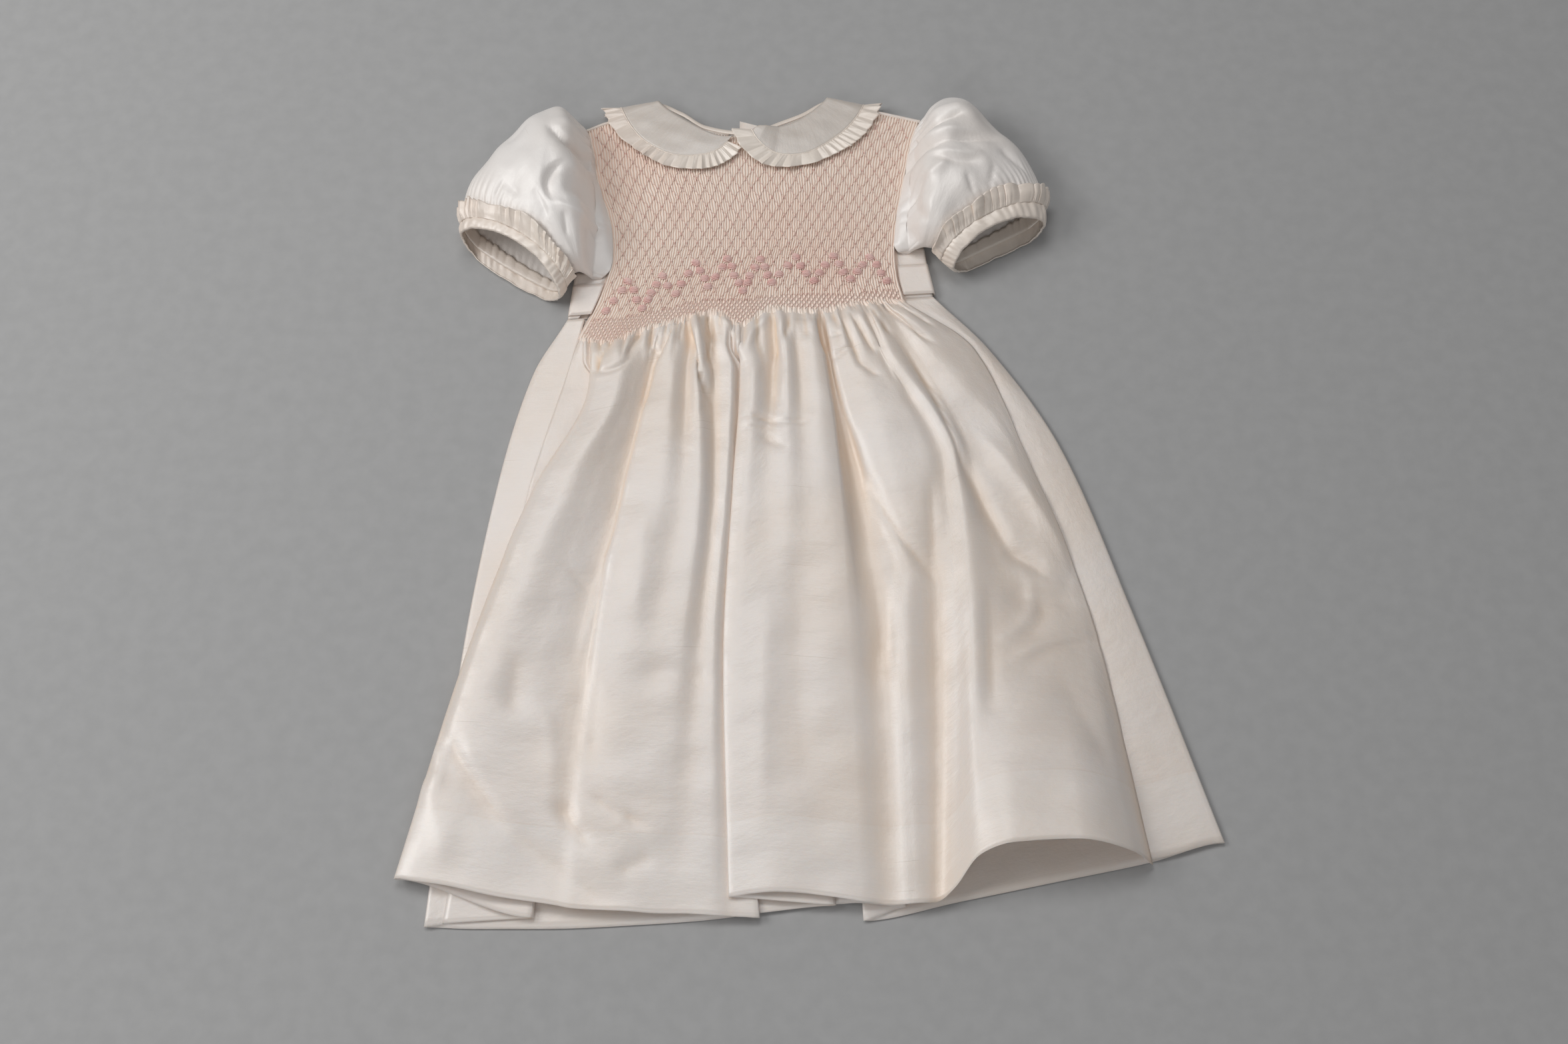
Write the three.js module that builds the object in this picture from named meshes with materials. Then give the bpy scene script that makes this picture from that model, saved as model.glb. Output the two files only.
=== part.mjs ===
// A small child's smocked silk dress, laid flat on its back with the front up.
// Millimetres, +Z up, +Y towards the collar. Tables are in the dress's own measures, with x = 0 on
// the bodice's centre line, y = 0 just below the waist, and z = 0 on the surface it lies on.
import * as THREE from 'three';

// ---- driving dimensions ----
const SILK = 1.0; // wall of one layer of silk
const SMOCKED = 2.6; // depth of the pleats where they are smocked
const SEAM = 0.3; // between two pieces at a seam
const LAYER = 1.3; // from one layer's middle to the next one's when they lie on each other
const FLOOR = SILK / 2; // middle of a layer that lies on the surface
const BACK_Z = FLOOR + LAYER + 0.1; // the back bodice lies on the sash and the collar's back
const TURN_UP = 2.1; // between the two layers where the back wraps round the side
const BODICE_EDGE_Z = 5.2; // height of the front at its seams
const BODICE_CROWN = 5.6; // how much higher the front is at its middle
const BODICE_HALF = 120; // half of the front's width at the shoulder tips
const BUTTON = { radius: 4.5, thick: 1, x: 0, ys: [146, 112, 78] };
const RUFFLE = { collarWaves: 12, collarLift: 2.2, cuffWaves: 12, cuffLift: 1.9 };
const PLACE = { x: -40, y: 94.9 }; // where the measures' origin lies in the part's frame

const IVORY = 0xe6dfd2;
const PEARL = 0xe9e4dc;
const BLUSH = 0xdfc9bd;

// ---- small tools ----
const lerp = (a, b, t) => a + (b - a) * t;
const clamp = (t) => Math.min(1, Math.max(0, t));
const range = (n) => Array.from({ length: n }, (_, i) => i);

/** Rows of a table as objects, with the names in its head line. */
function table(head, rows) {
  const names = head.trim().split(/\s+/);
  return rows.map((row) => Object.fromEntries(names.map((name, i) => [name, row[i]])));
}

/** A smooth curve through points that never swings past them. */
function curve(ats, values, startSlope = null) {
  const step = ats.slice(1).map((at, i) => (values[i + 1] - values[i]) / (at - ats[i]));
  const slope = values.map((_, i) => {
    const [before, after] = [step[i - 1], step[i]];
    if (before === undefined) return startSlope === null ? after : startSlope * after;
    if (after === undefined) return before;
    return before * after <= 0 ? 0 : (2 * before * after) / (before + after);
  });
  return (at) => {
    let i = 0;
    while (i < ats.length - 2 && at > ats[i + 1]) i += 1;
    const h = ats[i + 1] - ats[i];
    const t = clamp((at - ats[i]) / h);
    const ease = t * t * (3 - 2 * t);
    const rise = slope[i] * t * (1 - t) * (1 - t) - slope[i + 1] * t * t * (1 - t);
    return lerp(values[i], values[i + 1], ease) + h * rise;
  };
}

const curveOf = (rows, at, value) => curve(rows.map((r) => r[at]), rows.map((r) => r[value]));

/** Normals of a grid of points, pointing to the upper side. */
function normals(grid, closed) {
  const [rows, columns] = [grid.length, grid[0].length];
  const at = (j, i) => grid[j] && grid[j][closed ? (i + columns) % columns : i];
  return range(rows).map((j) => range(columns).map((i) => {
    const here = at(j, i);
    if (!here) return null;
    const across = new THREE.Vector3().subVectors(at(j, i + 1) || here, at(j, i - 1) || here);
    const along = new THREE.Vector3().subVectors(at(j + 1, i) || here, at(j - 1, i) || here);
    return along.cross(across).normalize();
  }));
}

/**
 * A closed wall on a grid of points, which may have places without a point. Rows run down the
 * piece and columns to the right; a closed wall's last column meets its first.
 */
function wall(grid, thick, closed = false) {
  const [rows, columns] = [grid.length, grid[0].length];
  const away = normals(grid, closed);
  const depth = typeof thick === 'function' ? thick : () => thick;
  const points = [];
  for (const side of [1, -1]) {
    grid.forEach((line, j) => line.forEach((p, i) => {
      const q = p ? p.clone().addScaledVector(away[j][i], (side * depth(j, i)) / 2) : null;
      points.push(...(q ? [q.x + PLACE.x, q.y + PLACE.y, q.z] : [0, 0, 0]));
    }));
  }
  const under = rows * columns;
  const faces = [];
  const edges = new Map();
  const quad = (a, b, c, d) => faces.push(a, b, c, a, c, d);
  for (const j of range(rows - 1)) {
    for (const i of range(closed ? columns : columns - 1)) {
      const [k, next] = [j * columns + i, j * columns + ((i + 1) % columns)];
      const corners = [k, k + columns, next + columns, next];
      if (corners.every((n) => grid[Math.floor(n / columns)][n % columns])) {
        quad(...corners);
        const [a, b, c, d] = corners.map((n) => n + under);
        faces.push(a, c, b, a, d, c);
        corners.forEach((n, e) => edges.set(`${n} ${corners[(e + 1) % 4]}`, [n, corners[(e + 1) % 4]]));
      }
    }
  }
  for (const [a, b] of edges.values()) {
    if (!edges.has(`${b} ${a}`)) quad(b, a, a + under, b + under);
  }
  const geometry = new THREE.BufferGeometry();
  geometry.setAttribute('position', new THREE.Float32BufferAttribute(points, 3));
  geometry.setIndex(faces);
  return geometry;
}

const dress = new THREE.Group();

function sew(name, geometry, color) {
  const material = new THREE.MeshStandardMaterial({ color, roughness: 0.45, metalness: 0 });
  material.side = THREE.DoubleSide;
  const mesh = new THREE.Mesh(geometry, material);
  mesh.name = name;
  dress.add(mesh);
}

// ---- outlines of the bodice ----
// Seams of the front from the shoulder tips down to the waist: the armholes, then the side seams.
const FRONT_SIDES = table('down leftX rightX', [
  [0, -118, 120],
  [0.14, -113.5, 114],
  [0.28, -109.5, 110],
  [0.42, -102, 106.5],
  [0.54, -98, 103.5],
  [0.64, -97.5, 102],
  [0.74, -100.5, 100.5],
  [0.86, -107, 101.5],
  [1, -118, 106],
]);
// Top of the front: shoulder, neck and shoulder.
const FRONT_TOP = table('x y', [
  [-118, 180], [-106, 185], [-95, 188], [-69, 198], [-51, 190], [-33, 177.5], [-11, 173],
  [10, 176.5], [20, 181], [35, 188], [56, 200], [78, 197], [94, 193.5], [108, 190.5], [120, 188],
]);
// Lower edge of the smocking, where the pleats are let go into the skirt.
const WAIST = table('x y', [
  [-118, 12], [-97, 7], [-80, 15], [-60, 21], [-24, 30], [-7, 20],
  [14, 32], [46, 31], [72, 37], [106, 41],
]);
// Neck of the back, below its binding.
const BACK_NECK = table('x y', [
  [-69, 198], [-45, 184], [-24, 178], [0, 177], [17, 180], [35, 188], [56, 200],
]);
// Where the back bodice meets the back skirt.
const BACK_WAIST = table('x y', [[-127, 27], [0, 36], [127, 45]]);

const leftSide = curveOf(FRONT_SIDES, 'down', 'leftX');
const rightSide = curveOf(FRONT_SIDES, 'down', 'rightX');
const frontTop = curveOf(FRONT_TOP, 'x', 'y');
const waistY = curveOf(WAIST, 'x', 'y');
const backNeck = curveOf(BACK_NECK, 'x', 'y');
const backWaist = curveOf(BACK_WAIST, 'x', 'y');

/** The front's side seam or armhole: x at a height y on the left (-1) or right (1). */
function frontSide(side, y) {
  const [curveX, x] = side < 0 ? [leftSide, leftSide(0)] : [rightSide, rightSide(0)];
  const [top, low] = [frontTop(x), waistY(side < 0 ? leftSide(1) : rightSide(1))];
  return curveX(clamp((top - y) / (top - low)));
}

/** Height of the front's middle layer over the bodice. */
function bodiceZ(x, y) {
  const round = 1 - Math.abs(clamp(Math.abs(x) / BODICE_HALF)) ** 3;
  const down = clamp((200 - y) / 40);
  return BODICE_EDGE_Z + BODICE_CROWN * round * lerp(0.55, 1, down);
}

// ---- folds of the skirt ----
// A row for each line that runs from the waist to the hem: x where it is let go, a tenth, three
// tenths and six tenths of the way down and at the hem, its height from the tenth on, and the hem's
// y. A line with faces is a folded edge that faces left (-1) or right (1) and is open by its gaps;
// along the cloth it rises (1) to the layer above or falls (-1) to the one below.
const FOLD_HEAD = `name waist high upper lower hem zHigh zUpper zLower zHem hemY
  faces rises gapWaist gapHigh gapHem`;
const FRONT_FOLDS = table(FOLD_HEAD, [
  ['side_seam', -118, -129, -149, -166, -187, 3.9, 3.4, 3, 2.8, -396, 0],
  ['under_pleat', -114, -101, -118, -122, -131, 4.2, 4.3, 4.5, 4.6, -393, 1, 1, 0, 2.2, 3.6],
  ['left_edge', -109, -110, -144, -181, -218, 8.2, 7.2, 6.4, 5.8, -369, -1, 1, 0, 2.6, 3],
  ['left_roll', -101, -104, -136, -174, -207, 13.5, 14, 13.5, 10, -371, 0],
  ['left_crest', -88, -90, -122, -160, -188, 15, 17, 16, 12, -374, 0],
  ['left_slope', -76, -79, -103, -134, -155, 11, 12, 12, 11, -381, 0],
  ['left_valley', -62, -69, -85, -109, -121, 6.8, 7.5, 8.5, 9, -386, 0],
  ['inner_edge', -56, -62, -76, -98, -110, 13, 12.5, 11.5, 9.8, -388, 0],
  ['inner_crest', -50, -53, -58, -78, -92, 14.5, 14.5, 13, 9.8, -389, 0],
  ['tuck_valley', -44, -43, -44, -60, -72, 10, 13, 12, 9, -390, 0],
  ['tuck', -38, -36, -33, -44, -56, 15.5, 14.5, 11.5, 8, -391, 0],
  ['centre_valley', -29, -26, -23, -32, -40, 8, 8.8, 9, 7.4, -391, 0],
  ['centre_ridge', -21, -15, -17, -26, -27, 14, 12.8, 11, 7, -392, 0],
  ['centre_foot', -18, -10, -11.5, -17, -13, 5.8, 5.8, 5.8, 5.6, -392.5, 0],
  ['left_turn', -14, -3, -3, -6, 8, 4.9, 4.9, 4.8, 4.6, -393, 1, -1, 0, 1.6, 1.6],
  ['hidden_turn', -10, -7, -10, -14, -14, 2.5, 2.5, 2.5, 2.6, -391, -1, -1, 0, 1.6, 1.6],
  ['inner_turn', -6, 5, 12, 30, 55, 3.9, 3.9, 3.9, 3.9, -385, 1, 1, 0, 4.4, 4],
  ['centre_edge', -2, -7, -11, -16, -11, 9, 8.7, 8.4, 8, -381, -1, 1, 0, 1.8, 1.8],
  ['panel_left', 4, 3, -1, -5, 2, 15, 13.8, 12, 10.6, -379.5, 0],
  ['panel_crease', 13, 15, 13, 11, 18, 9.8, 13, 12.2, 11.8, -378.5, 0],
  ['panel_left_rise', 22, 23, 25, 26, 32, 15.5, 14.4, 12.4, 11.4, -379, 0],
  ['panel_middle', 30, 33, 37, 39, 46, 12.5, 13.2, 12, 10.8, -380.5, 0],
  ['panel_right_rise', 38, 43, 50, 54, 60, 15, 14, 11.6, 10.4, -382.5, 0],
  ['panel_edge', 45, 51, 61, 67, 72, 12.5, 12.2, 10.6, 9.4, -384.5, 0],
  ['right_valley', 49, 55, 69, 82, 86, 6.6, 6.2, 6.6, 7.4, -386, 0],
  ['dart_left', 54, 61, 81, 105, 100, 10.5, 9.4, 8.4, 7.8, -386.5, 0],
  ['dart_crest', 62, 71, 99, 113, 107, 14.5, 13, 8.8, 7.4, -387, 0],
  ['dart_right', 70, 86, 117, 120, 116, 9, 9.6, 8.8, 7, -388, 0],
  ['gusset_rise', 75, 90, 123, 134, 126, 14, 15, 17, 17, -381, 0],
  ['gusset_crest', 81, 97, 131, 150, 141, 18.5, 20.5, 25, 31, -364, 0],
  ['gusset_valley', 89, 107, 145, 172, 166, 12.5, 14, 22, 39.5, -355, 0],
  ['right_crest', 96, 122, 163, 195, 203, 18, 20, 26, 40, -353.5, 0],
  ['right_fall', 101, 135, 177, 213, 237, 13.5, 14.5, 18, 29, -358.5, 0],
  ['right_seam', 106, 143, 184.5, 223.5, 252, 6, 5.4, 4.4, 3.2, -359.5, 0],
]);
const BACK_FOLDS = table(FOLD_HEAD, [
  ['right_seam', 107.5, 144.7, 186.2, 225.2, 253.7, 5.6, 5, 4.2, 3, -359, 0],
  ['strip', 118, 153, 200, 240, 274, 6.4, 6.4, 5.6, 4.4, -352, 0],
  ['right_side', 127, 163, 210, 250, 298, 1.9, 1.9, 1.9, 1.8, -345, 1, -1, 2.1, 2.8, 2.6],
  ['floor_1', 100, 135, 185, 222, 250, 0.5, 0.5, 0.5, 0.5, -357.5, 0],
  ['floor_2', 72, 100, 140, 172, 190, 0.5, 0.5, 0.5, 0.5, -370, 0],
  ['floor_3', 52, 66, 95, 118, 132, 0.5, 0.5, 0.5, 0.5, -382, 0],
  ['pleat_edge', 38, 34, 48, 62, 72, 1.3, 1.3, 1.3, 1.3, -394, -1, 1, 0, 1.6, 1.6],
  ['pleat_inside', 30, 46, 62, 80, 98, 4.5, 3.8, 3.2, 3, -386, 1, 1, 0, 1.7, 1.7],
  ['pleat_step', 22, 31, 43, 57, 67, 5.4, 4.7, 4, 3.9, -383.5, 0],
  ['pleat_foot', 12, 21, 32, 46, 56, 0.5, 0.5, 0.5, 0.5, -383.5, 0],
  ['floor_4', 2, 8, 12, 12, 10, 0.5, 0.5, 0.5, 0.5, -384, 0],
  ['floor_5', -14, -16, -18, -16, -8, 0.5, 0.5, 0.5, 0.5, -391.5, 0],
  ['floor_6', -44, -52, -62, -66, -66, 0.5, 0.5, 0.5, 0.5, -396.5, 0],
  ['floor_7', -78, -94, -110, -120, -125, 0.5, 0.5, 0.5, 0.5, -399, 0],
  ['floor_8', -104, -125, -142, -158, -168, 0.5, 0.5, 0.5, 0.5, -399, 0],
  ['left_side', -127, -149, -169, -186, -198, 1.6, 1.6, 1.6, 1.6, -398, -1, 1, 2.1, 2.2, 2.2],
  ['side_seam', -119.5, -130.7, -150.8, -167.8, -188.9, 3.9, 3.4, 3, 2.8, -396.5, 0],
]);
const DOWN = [0, 0.04, 0.1, 0.3, 0.6, 1]; // how far down the skirt the x places are
const DOWN_Z = [0, 0.04, 0.1, 0.3, 0.6, 1]; // and the heights
const ORDER_STEP = 1.1; // between the three lines of a folded edge where the pleats are let go

/** The lines of a fold: one for a plain fold, three round a folded edge. */
function foldLines(fold, waistLine, waistHeight, steps) {
  const { waist, high, upper, lower, hem, hemY, faces, rises } = fold;
  const turned = faces !== 0;
  const held = (rises && !fold.gapWaist) || Math.abs(waist) < 32;
  const xs = [waist, ...(held ? [waist] : []), high, upper, lower, hem];
  const x = curve(held ? DOWN : DOWN.filter((v) => v !== DOWN[1]), xs);
  return (turned ? [-1, 0, 1] : [0]).map((part) => {
    const atOnce = turned && fold.gapWaist > 0;
    const start = waist + (atOnce ? 0 : part * ORDER_STEP * steps);
    const startZ = waistHeight(start);
    const nearZ = lerp(startZ, fold.zHigh, 0.85);
    const z = curve(DOWN_Z, [startZ, nearZ, fold.zHigh, fold.zUpper, fold.zLower, fold.zHem], 1.4);
    return (v) => {
      // the layers part in height first, and then slide over each other
      const slid = atOnce ? 1 : clamp((v - DOWN[1]) / (DOWN[2] - DOWN[1]));
      const later = lerp(fold.gapHigh || 0, fold.gapHem || 0, v);
      const open = lerp(fold.gapWaist || 0, later, clamp(v / DOWN_Z[1])) / 2;
      const back = part !== 0 ? faces * open * slid : 0;
      const spread = (start - waist) * (1 - slid);
      const y = lerp(waistLine(start), hemY, v);
      return new THREE.Vector3(x(v) - back + spread, y, z(v) + part * (rises || 0) * open);
    };
  });
}

const SKIRT_ROWS = [0, 0.02, 0.042, 0.07, 0.102, 0.17, 0.27, 0.4, 0.56, 0.72, 0.87, 1];
const SMOCKED_ROWS = [0, 0.16, 0.34, 0.52, 0.7, 0.86];

/** The front, cut in one length: smocked to the waist, then let go into the skirt. */
function front() {
  const lines = FRONT_FOLDS.flatMap((fold) => (
    foldLines(fold, waistY, (x) => bodiceZ(x, waistY(x)), 1)));
  const first = lines[0](0).x;
  const width = lines[lines.length - 1](0).x - first;
  const shares = lines.map((line) => (line(0).x - first) / width);
  const smocked = SMOCKED_ROWS.map((down) => shares.map((share, i) => {
    const top = lerp(leftSide(0), rightSide(0), share);
    const x = lerp(leftSide(down), rightSide(down), share);
    const y = lerp(frontTop(top), lines[i](0).y, down);
    return new THREE.Vector3(x, y, bodiceZ(x, y));
  }));
  const skirt = SKIRT_ROWS.map((v) => lines.map((line) => line(v)));
  const depth = (j) => {
    if (j < smocked.length) return SMOCKED;
    return j > smocked.length ? SILK : lerp(SMOCKED, SILK, 0.6);
  };
  return wall([...smocked, ...skirt], depth);
}

/** The back skirt: a strip on each side of the front, and the layer that lies on the surface. */
function backSkirt() {
  const seam = (x) => backWaist(x) - SEAM;
  const over = { right_seam: 1, strip: 1, right_side: 0.5, left_side: 0.5, side_seam: 1 };
  const lines = BACK_FOLDS.flatMap((fold) => {
    const height = () => BACK_Z + TURN_UP * (over[fold.name] || 0);
    return foldLines(fold, seam, height, -1);
  });
  const rows = SKIRT_ROWS.filter((v) => v !== 0.02 && v !== 0.27 && v !== 0.72);
  return wall(rows.map((v) => lines.map((line) => line(v)).reverse()), SILK);
}

// ---- back bodice, with the placket's two edges lapped at the centre ----
const PLACKET = { half: 9, upperTop: 188, lowerTop: 182 };
const BACK_ARM = table('y leftX rightX', [
  [57, -108, 106], [70, -106.5, 106], [80, -103.5, 105.5], [95, -102.5, 105.3], [110, -104, 106.5],
  [140, -109, 111.5], [180, -117.5, 121],
]);
const SIDE_TOP = { left: 57, right: 77.5 };
const SHOULDER = { left: 178.8, right: 186.8, turn: 2.8, gap: 1.6 }; // bent up to the front's seam

function backBodice(side) {
  const left = side < 0;
  const top = left ? SIDE_TOP.left : SIDE_TOP.right;
  const arm = curveOf(BACK_ARM, 'y', left ? 'leftX' : 'rightX');
  const seamX = (y) => frontSide(side, y) + side * 1.3;
  const edge = -side * PLACKET.half;
  const layerZ = (x) => BACK_Z + (left ? 0 : LAYER * clamp((17 - x) / 4));
  const inside = left ? [edge, -10, -15, -30, -46, -64] : [edge, 12, 17, 29, 41, 53];
  const fold = side * 126.5;
  const outer = [0.36, 0.75, 1];
  const side3 = [[fold - side * 2, 0], [fold, 0.5], [fold - side * 2, 1]];
  const grid = [];
  // below the armhole: the floor layer, and the part that wraps round the side to the front
  for (const up of [0, 0.45, 1]) {
    const y = (x) => lerp(backWaist(x), top, up);
    const last = inside[inside.length - 1];
    const line = inside.map((x) => new THREE.Vector3(x, y(x), layerZ(x)));
    outer.forEach((t) => {
      const x = lerp(last, arm(top), t);
      line.push(new THREE.Vector3(x, y(x), BACK_Z));
    });
    side3.forEach(([x, turn]) => (
      line.push(new THREE.Vector3(x, y(x), BACK_Z + TURN_UP * turn))));
    const end = seamX(lerp(left ? 12 : 41, top, up));
    line.push(new THREE.Vector3(end, y(end), BACK_Z + TURN_UP));
    grid.push(line);
  }
  // beside the armhole, up to the neck and the shoulder
  for (const up of [0.05, 0.12, 0.25, 0.5, 0.75, 0.92, 1]) {
    const armX = arm(lerp(top, left ? SHOULDER.left : SHOULDER.right, up));
    const topAt = (x) => {
      if (Math.abs(x) < PLACKET.half + 4) return left ? PLACKET.lowerTop : PLACKET.upperTop;
      return x > -66 && x < 55 ? backNeck(x) : frontTop(x) - 1.2;
    };
    const last = inside[inside.length - 1];
    const line = inside.map((x) => new THREE.Vector3(x, lerp(top, topAt(x), up), layerZ(x)));
    outer.forEach((t) => {
      const x = lerp(last, armX, t);
      line.push(new THREE.Vector3(x, lerp(top, topAt(x), up), BACK_Z));
    });
    grid.push([...line, null, null, null, null]);
  }
  // the shoulder, bent up to meet the front
  const below = grid[grid.length - 1];
  const bent = [[SHOULDER.turn, 0.5], [SHOULDER.gap, 0.84]].map(([past, rise]) => (
    below.map((p, i) => {
      if (!p || i < inside.length) return null;
      const y = frontTop(p.x) + past;
      return new THREE.Vector3(p.x, y, lerp(BACK_Z, bodiceZ(p.x, y), rise));
    })));
  grid.push(...bent);
  const laid = grid.reverse();
  return wall(left ? laid.map((line) => line.reverse()) : laid, SILK);
}

// ---- collar, its ruffles and the neck binding ----
// A row for each place along a half, from the centre front over the shoulder to the centre back.
// lies: 1 on the front of the bodice, 0 under the back, between at the shoulder's turn.
const COLLAR_HEAD = 'neckX neckY seamX seamY edgeX edgeY lies';
const COLLAR = {
  left: table(COLLAR_HEAD, [
    [-13, 172.3, -17.5, 167.5, -7, 160, 1],
    [-19, 171.7, -22.5, 161.5, -15, 151, 1],
    [-27, 174, -34, 156, -34, 143, 1],
    [-39, 181.5, -52, 155, -57, 143, 1],
    [-50, 189.5, -68, 162, -76, 153, 1],
    [-59, 196, -82, 174, -91, 167.5, 1],
    [-66, 203, -92.5, 193, -105, 188.5, 1],
    [-68, 206, -95.5, 202.5, -109, 203, 0.5],
    [-66, 203.5, -92.5, 194, -105, 190, 0],
    [-53, 192, -81, 174, -91, 167, 0],
    [-36, 183, -59, 157.5, -66, 147, 0],
    [-19, 179, -33, 151, -35, 139, 0],
    [-2, 178, -7, 151, -6, 139, 0],
  ]),
  right: table(COLLAR_HEAD, [
    [9, 176, 4.5, 171.8, -10, 171, 1],
    [15, 178, 9.5, 162.5, -2, 154, 1],
    [22, 181.3, 21, 155.5, 14, 143.5, 1],
    [31, 186, 37, 156.5, 38, 144, 1],
    [39, 191.5, 52, 165, 60, 155, 1],
    [46, 198, 67, 178, 79, 171.5, 1],
    [53, 205.5, 79, 196, 92, 192.5, 1],
    [54, 209, 81, 204.5, 95.5, 206.5, 0.5],
    [53, 206, 79, 197, 92, 194, 0],
    [43, 195.5, 69, 176, 79, 168, 0],
    [29, 186.5, 49, 158.5, 56, 148, 0],
    [15, 181, 27, 151.5, 30, 139.5, 0],
    [2, 178.5, 6, 151, 5, 139, 0],
  ]),
};
const COLLAR_OVER = SMOCKED / 2 + SILK / 2 + SEAM; // middle of the collar over the front's middle
const CROSSING = 3.2; // the right half's end lies over the left one's

function collarLines(rows) {
  const ats = range(rows.length);
  const pick = (name) => curve(ats, rows.map((r) => r[name]));
  const [neckX, neckY, seamX, seamY, edgeX, edgeY, lies] = COLLAR_HEAD.split(' ').map(pick);
  const height = (x, y, at, over) => lerp(FLOOR, bodiceZ(x, y) + COLLAR_OVER + over, lies(at));
  return {
    last: rows.length - 1,
    neck: (at, over) => new THREE.Vector3(neckX(at), neckY(at), height(neckX(at), neckY(at), at, over)),
    seam: (at, over) => new THREE.Vector3(seamX(at), seamY(at), height(seamX(at), seamY(at), at, over)),
    edge: (at, over) => new THREE.Vector3(edgeX(at), edgeY(at), height(edgeX(at), edgeY(at), at, over)),
    lies,
  };
}

const overlap = (side, at) => (side > 0 ? CROSSING * clamp(1.8 - at) : 0);

function collar(side, rows) {
  const lines = collarLines(rows);
  const count = 27;
  const grid = range(count).map((k) => {
    const at = (k * lines.last) / (count - 1);
    const over = overlap(side, at);
    const a = lines.neck(at, over + 0.6 * lines.lies(at));
    const b = lines.seam(at, over);
    const inside = a.clone().lerp(b, 0.04);
    return [inside, a.clone().lerp(b, 0.5), b];
  });
  return wall(side < 0 ? grid : grid.map((line) => line.reverse()), SILK);
}

function collarRuffle(side, rows) {
  const lines = collarLines(rows);
  const count = 48;
  const grid = range(count + 1).map((k) => {
    const at = (k * lines.last) / count;
    const over = overlap(side, at);
    const a = lines.seam(at, over);
    const b = lines.edge(at, over);
    const start = a.clone().addScaledVector(b.clone().sub(a).normalize(), SILK / 2 + 0.25);
    const wave = 0.5 + 0.5 * Math.sin(2 * Math.PI * RUFFLE.collarWaves * (at / lines.last));
    b.z += RUFFLE.collarLift * wave * clamp(2 * lines.lies(at) - 0.8);
    return [start, b];
  });
  return wall(side < 0 ? grid : grid.map((line) => line.reverse()), SILK);
}

/** The bias binding: along the front of the neck, round, and back along the back of the neck. */
function neckBinding() {
  const [frontStrip, backStrip] = [5, 4.4];
  const ends = { left: -62, right: 50 };
  const clear = { left: -16.5, right: 18.5 }; // of the placket, at each end
  const place = (x, y, z, up) => new THREE.Vector3(x, y + up, z);
  const backHalf = (from, to) => range(7).map((i) => {
    const x = lerp(from, to, i / 6);
    const y = backNeck(x) + 1.4;
    return [place(x, y, BACK_Z + 0.2, 0), place(x, y, BACK_Z + 0.6, backStrip)];
  });
  const corner = (x, y, z) => [place(x, y, z, 0), place(x, y + 1.2, z, 2)];
  const rows = backHalf(clear.left, ends.left);
  rows.push(corner(-66.5, 201.8, BACK_Z + 3));
  rows.push(...range(17).map((i) => {
    const x = lerp(ends.left - 1.5, ends.right + 2, i / 16);
    const y = frontTop(x) + 1.2;
    const z = bodiceZ(x, y) + 0.4;
    return [place(x, y, z, 0), place(x, y, z - 0.6, frontStrip)];
  }));
  rows.push(corner(54.5, 203.6, BACK_Z + 3.2));
  rows.push(...backHalf(ends.right, clear.right));
  return wall(rows, 1.1);
}

// ---- sleeves, with their cuff bands and ruffles ----
// A row for each ring of the sleeve, from the armhole to the band's edge. A ring is as wide as from
// out, its end away from the body, to in, its underarm end, and widest at the height wide. Its
// upper and lower sides lean towards the body.
const RING_HEAD = 'name outX outY inX inY top wide bottom leanTop leanBottom';
const SLEEVE = {
  left: table(RING_HEAD, [
    ['head', -123, 182.5, -111, 58.8, 16, 6, 0.5, 6, 4],
    ['cap', -130, 187, -113.5, 58.8, 31, 11, 0.5, 5, 2],
    ['rise', -139, 191.5, -115.5, 58.8, 45, 14, 0.5, 4, 1],
    ['crown', -154, 184, -118, 58.8, 50, 17, 0.5, 2, 0],
    ['puff', -172, 164, -120, 58.4, 50, 18, 0.8, 0, 0],
    ['low', -190, 140, -124, 57, 45, 18, 2.1, 2, -1],
    ['gather', -200.5, 116, -126, 53, 38.5, 18, 2.2, 6, -2],
    ['seam', -202, 97, -127.5, 48, 35.5, 17, 2.2, 8, -3],
    ['opening', -203, 87, -131, 39, 35.5, 17, 0.6, 10, -5],
  ]),
  right: table(RING_HEAD, [
    ['head', 125.5, 190.5, 111, 79.3, 16, 6, 0.5, 5, 3],
    ['cap', 131, 196, 114, 79.3, 30, 11, 0.5, 4, 2],
    ['rise', 140, 200.5, 117, 79.2, 41, 14, 0.5, 3, 1],
    ['crown', 154, 195, 121, 79, 47, 17, 0.5, 1, 0],
    ['puff', 173, 174, 124, 78.6, 46, 17, 0.8, 0, 0],
    ['low', 191, 151, 128, 78, 42, 17, 2.1, 2, 0],
    ['gather', 203, 129, 130.5, 75, 36.5, 16, 2.2, 4, 0],
    ['seam', 206, 111, 132.5, 70, 34, 15, 2.2, 6, 0],
    ['opening', 206, 96, 140.5, 62, 33, 15, 0.6, 8, -1],
  ]),
};
const RING_POINTS = 20;
const SLEEVE_END = 7; // the row where the sleeve is sewn to its band
const RUFFLE_LAYS = table('at offset wave', [[7, 1.5, 0], [6.45, 3.2, 0.6], [5.9, 4.6, 1]]);

/** Cosine and sine of an angle on a ring that is the flatter, the squarer its ends are. */
function ringAngle(angle, flatness) {
  const power = 2 / Math.min(3.2, Math.max(2, 1.6 + 0.2 * flatness));
  const [c, s] = [Math.cos(angle), Math.sin(angle)];
  return [Math.sign(c) * Math.abs(c) ** power, Math.sign(s) * Math.abs(s) ** power];
}

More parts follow.
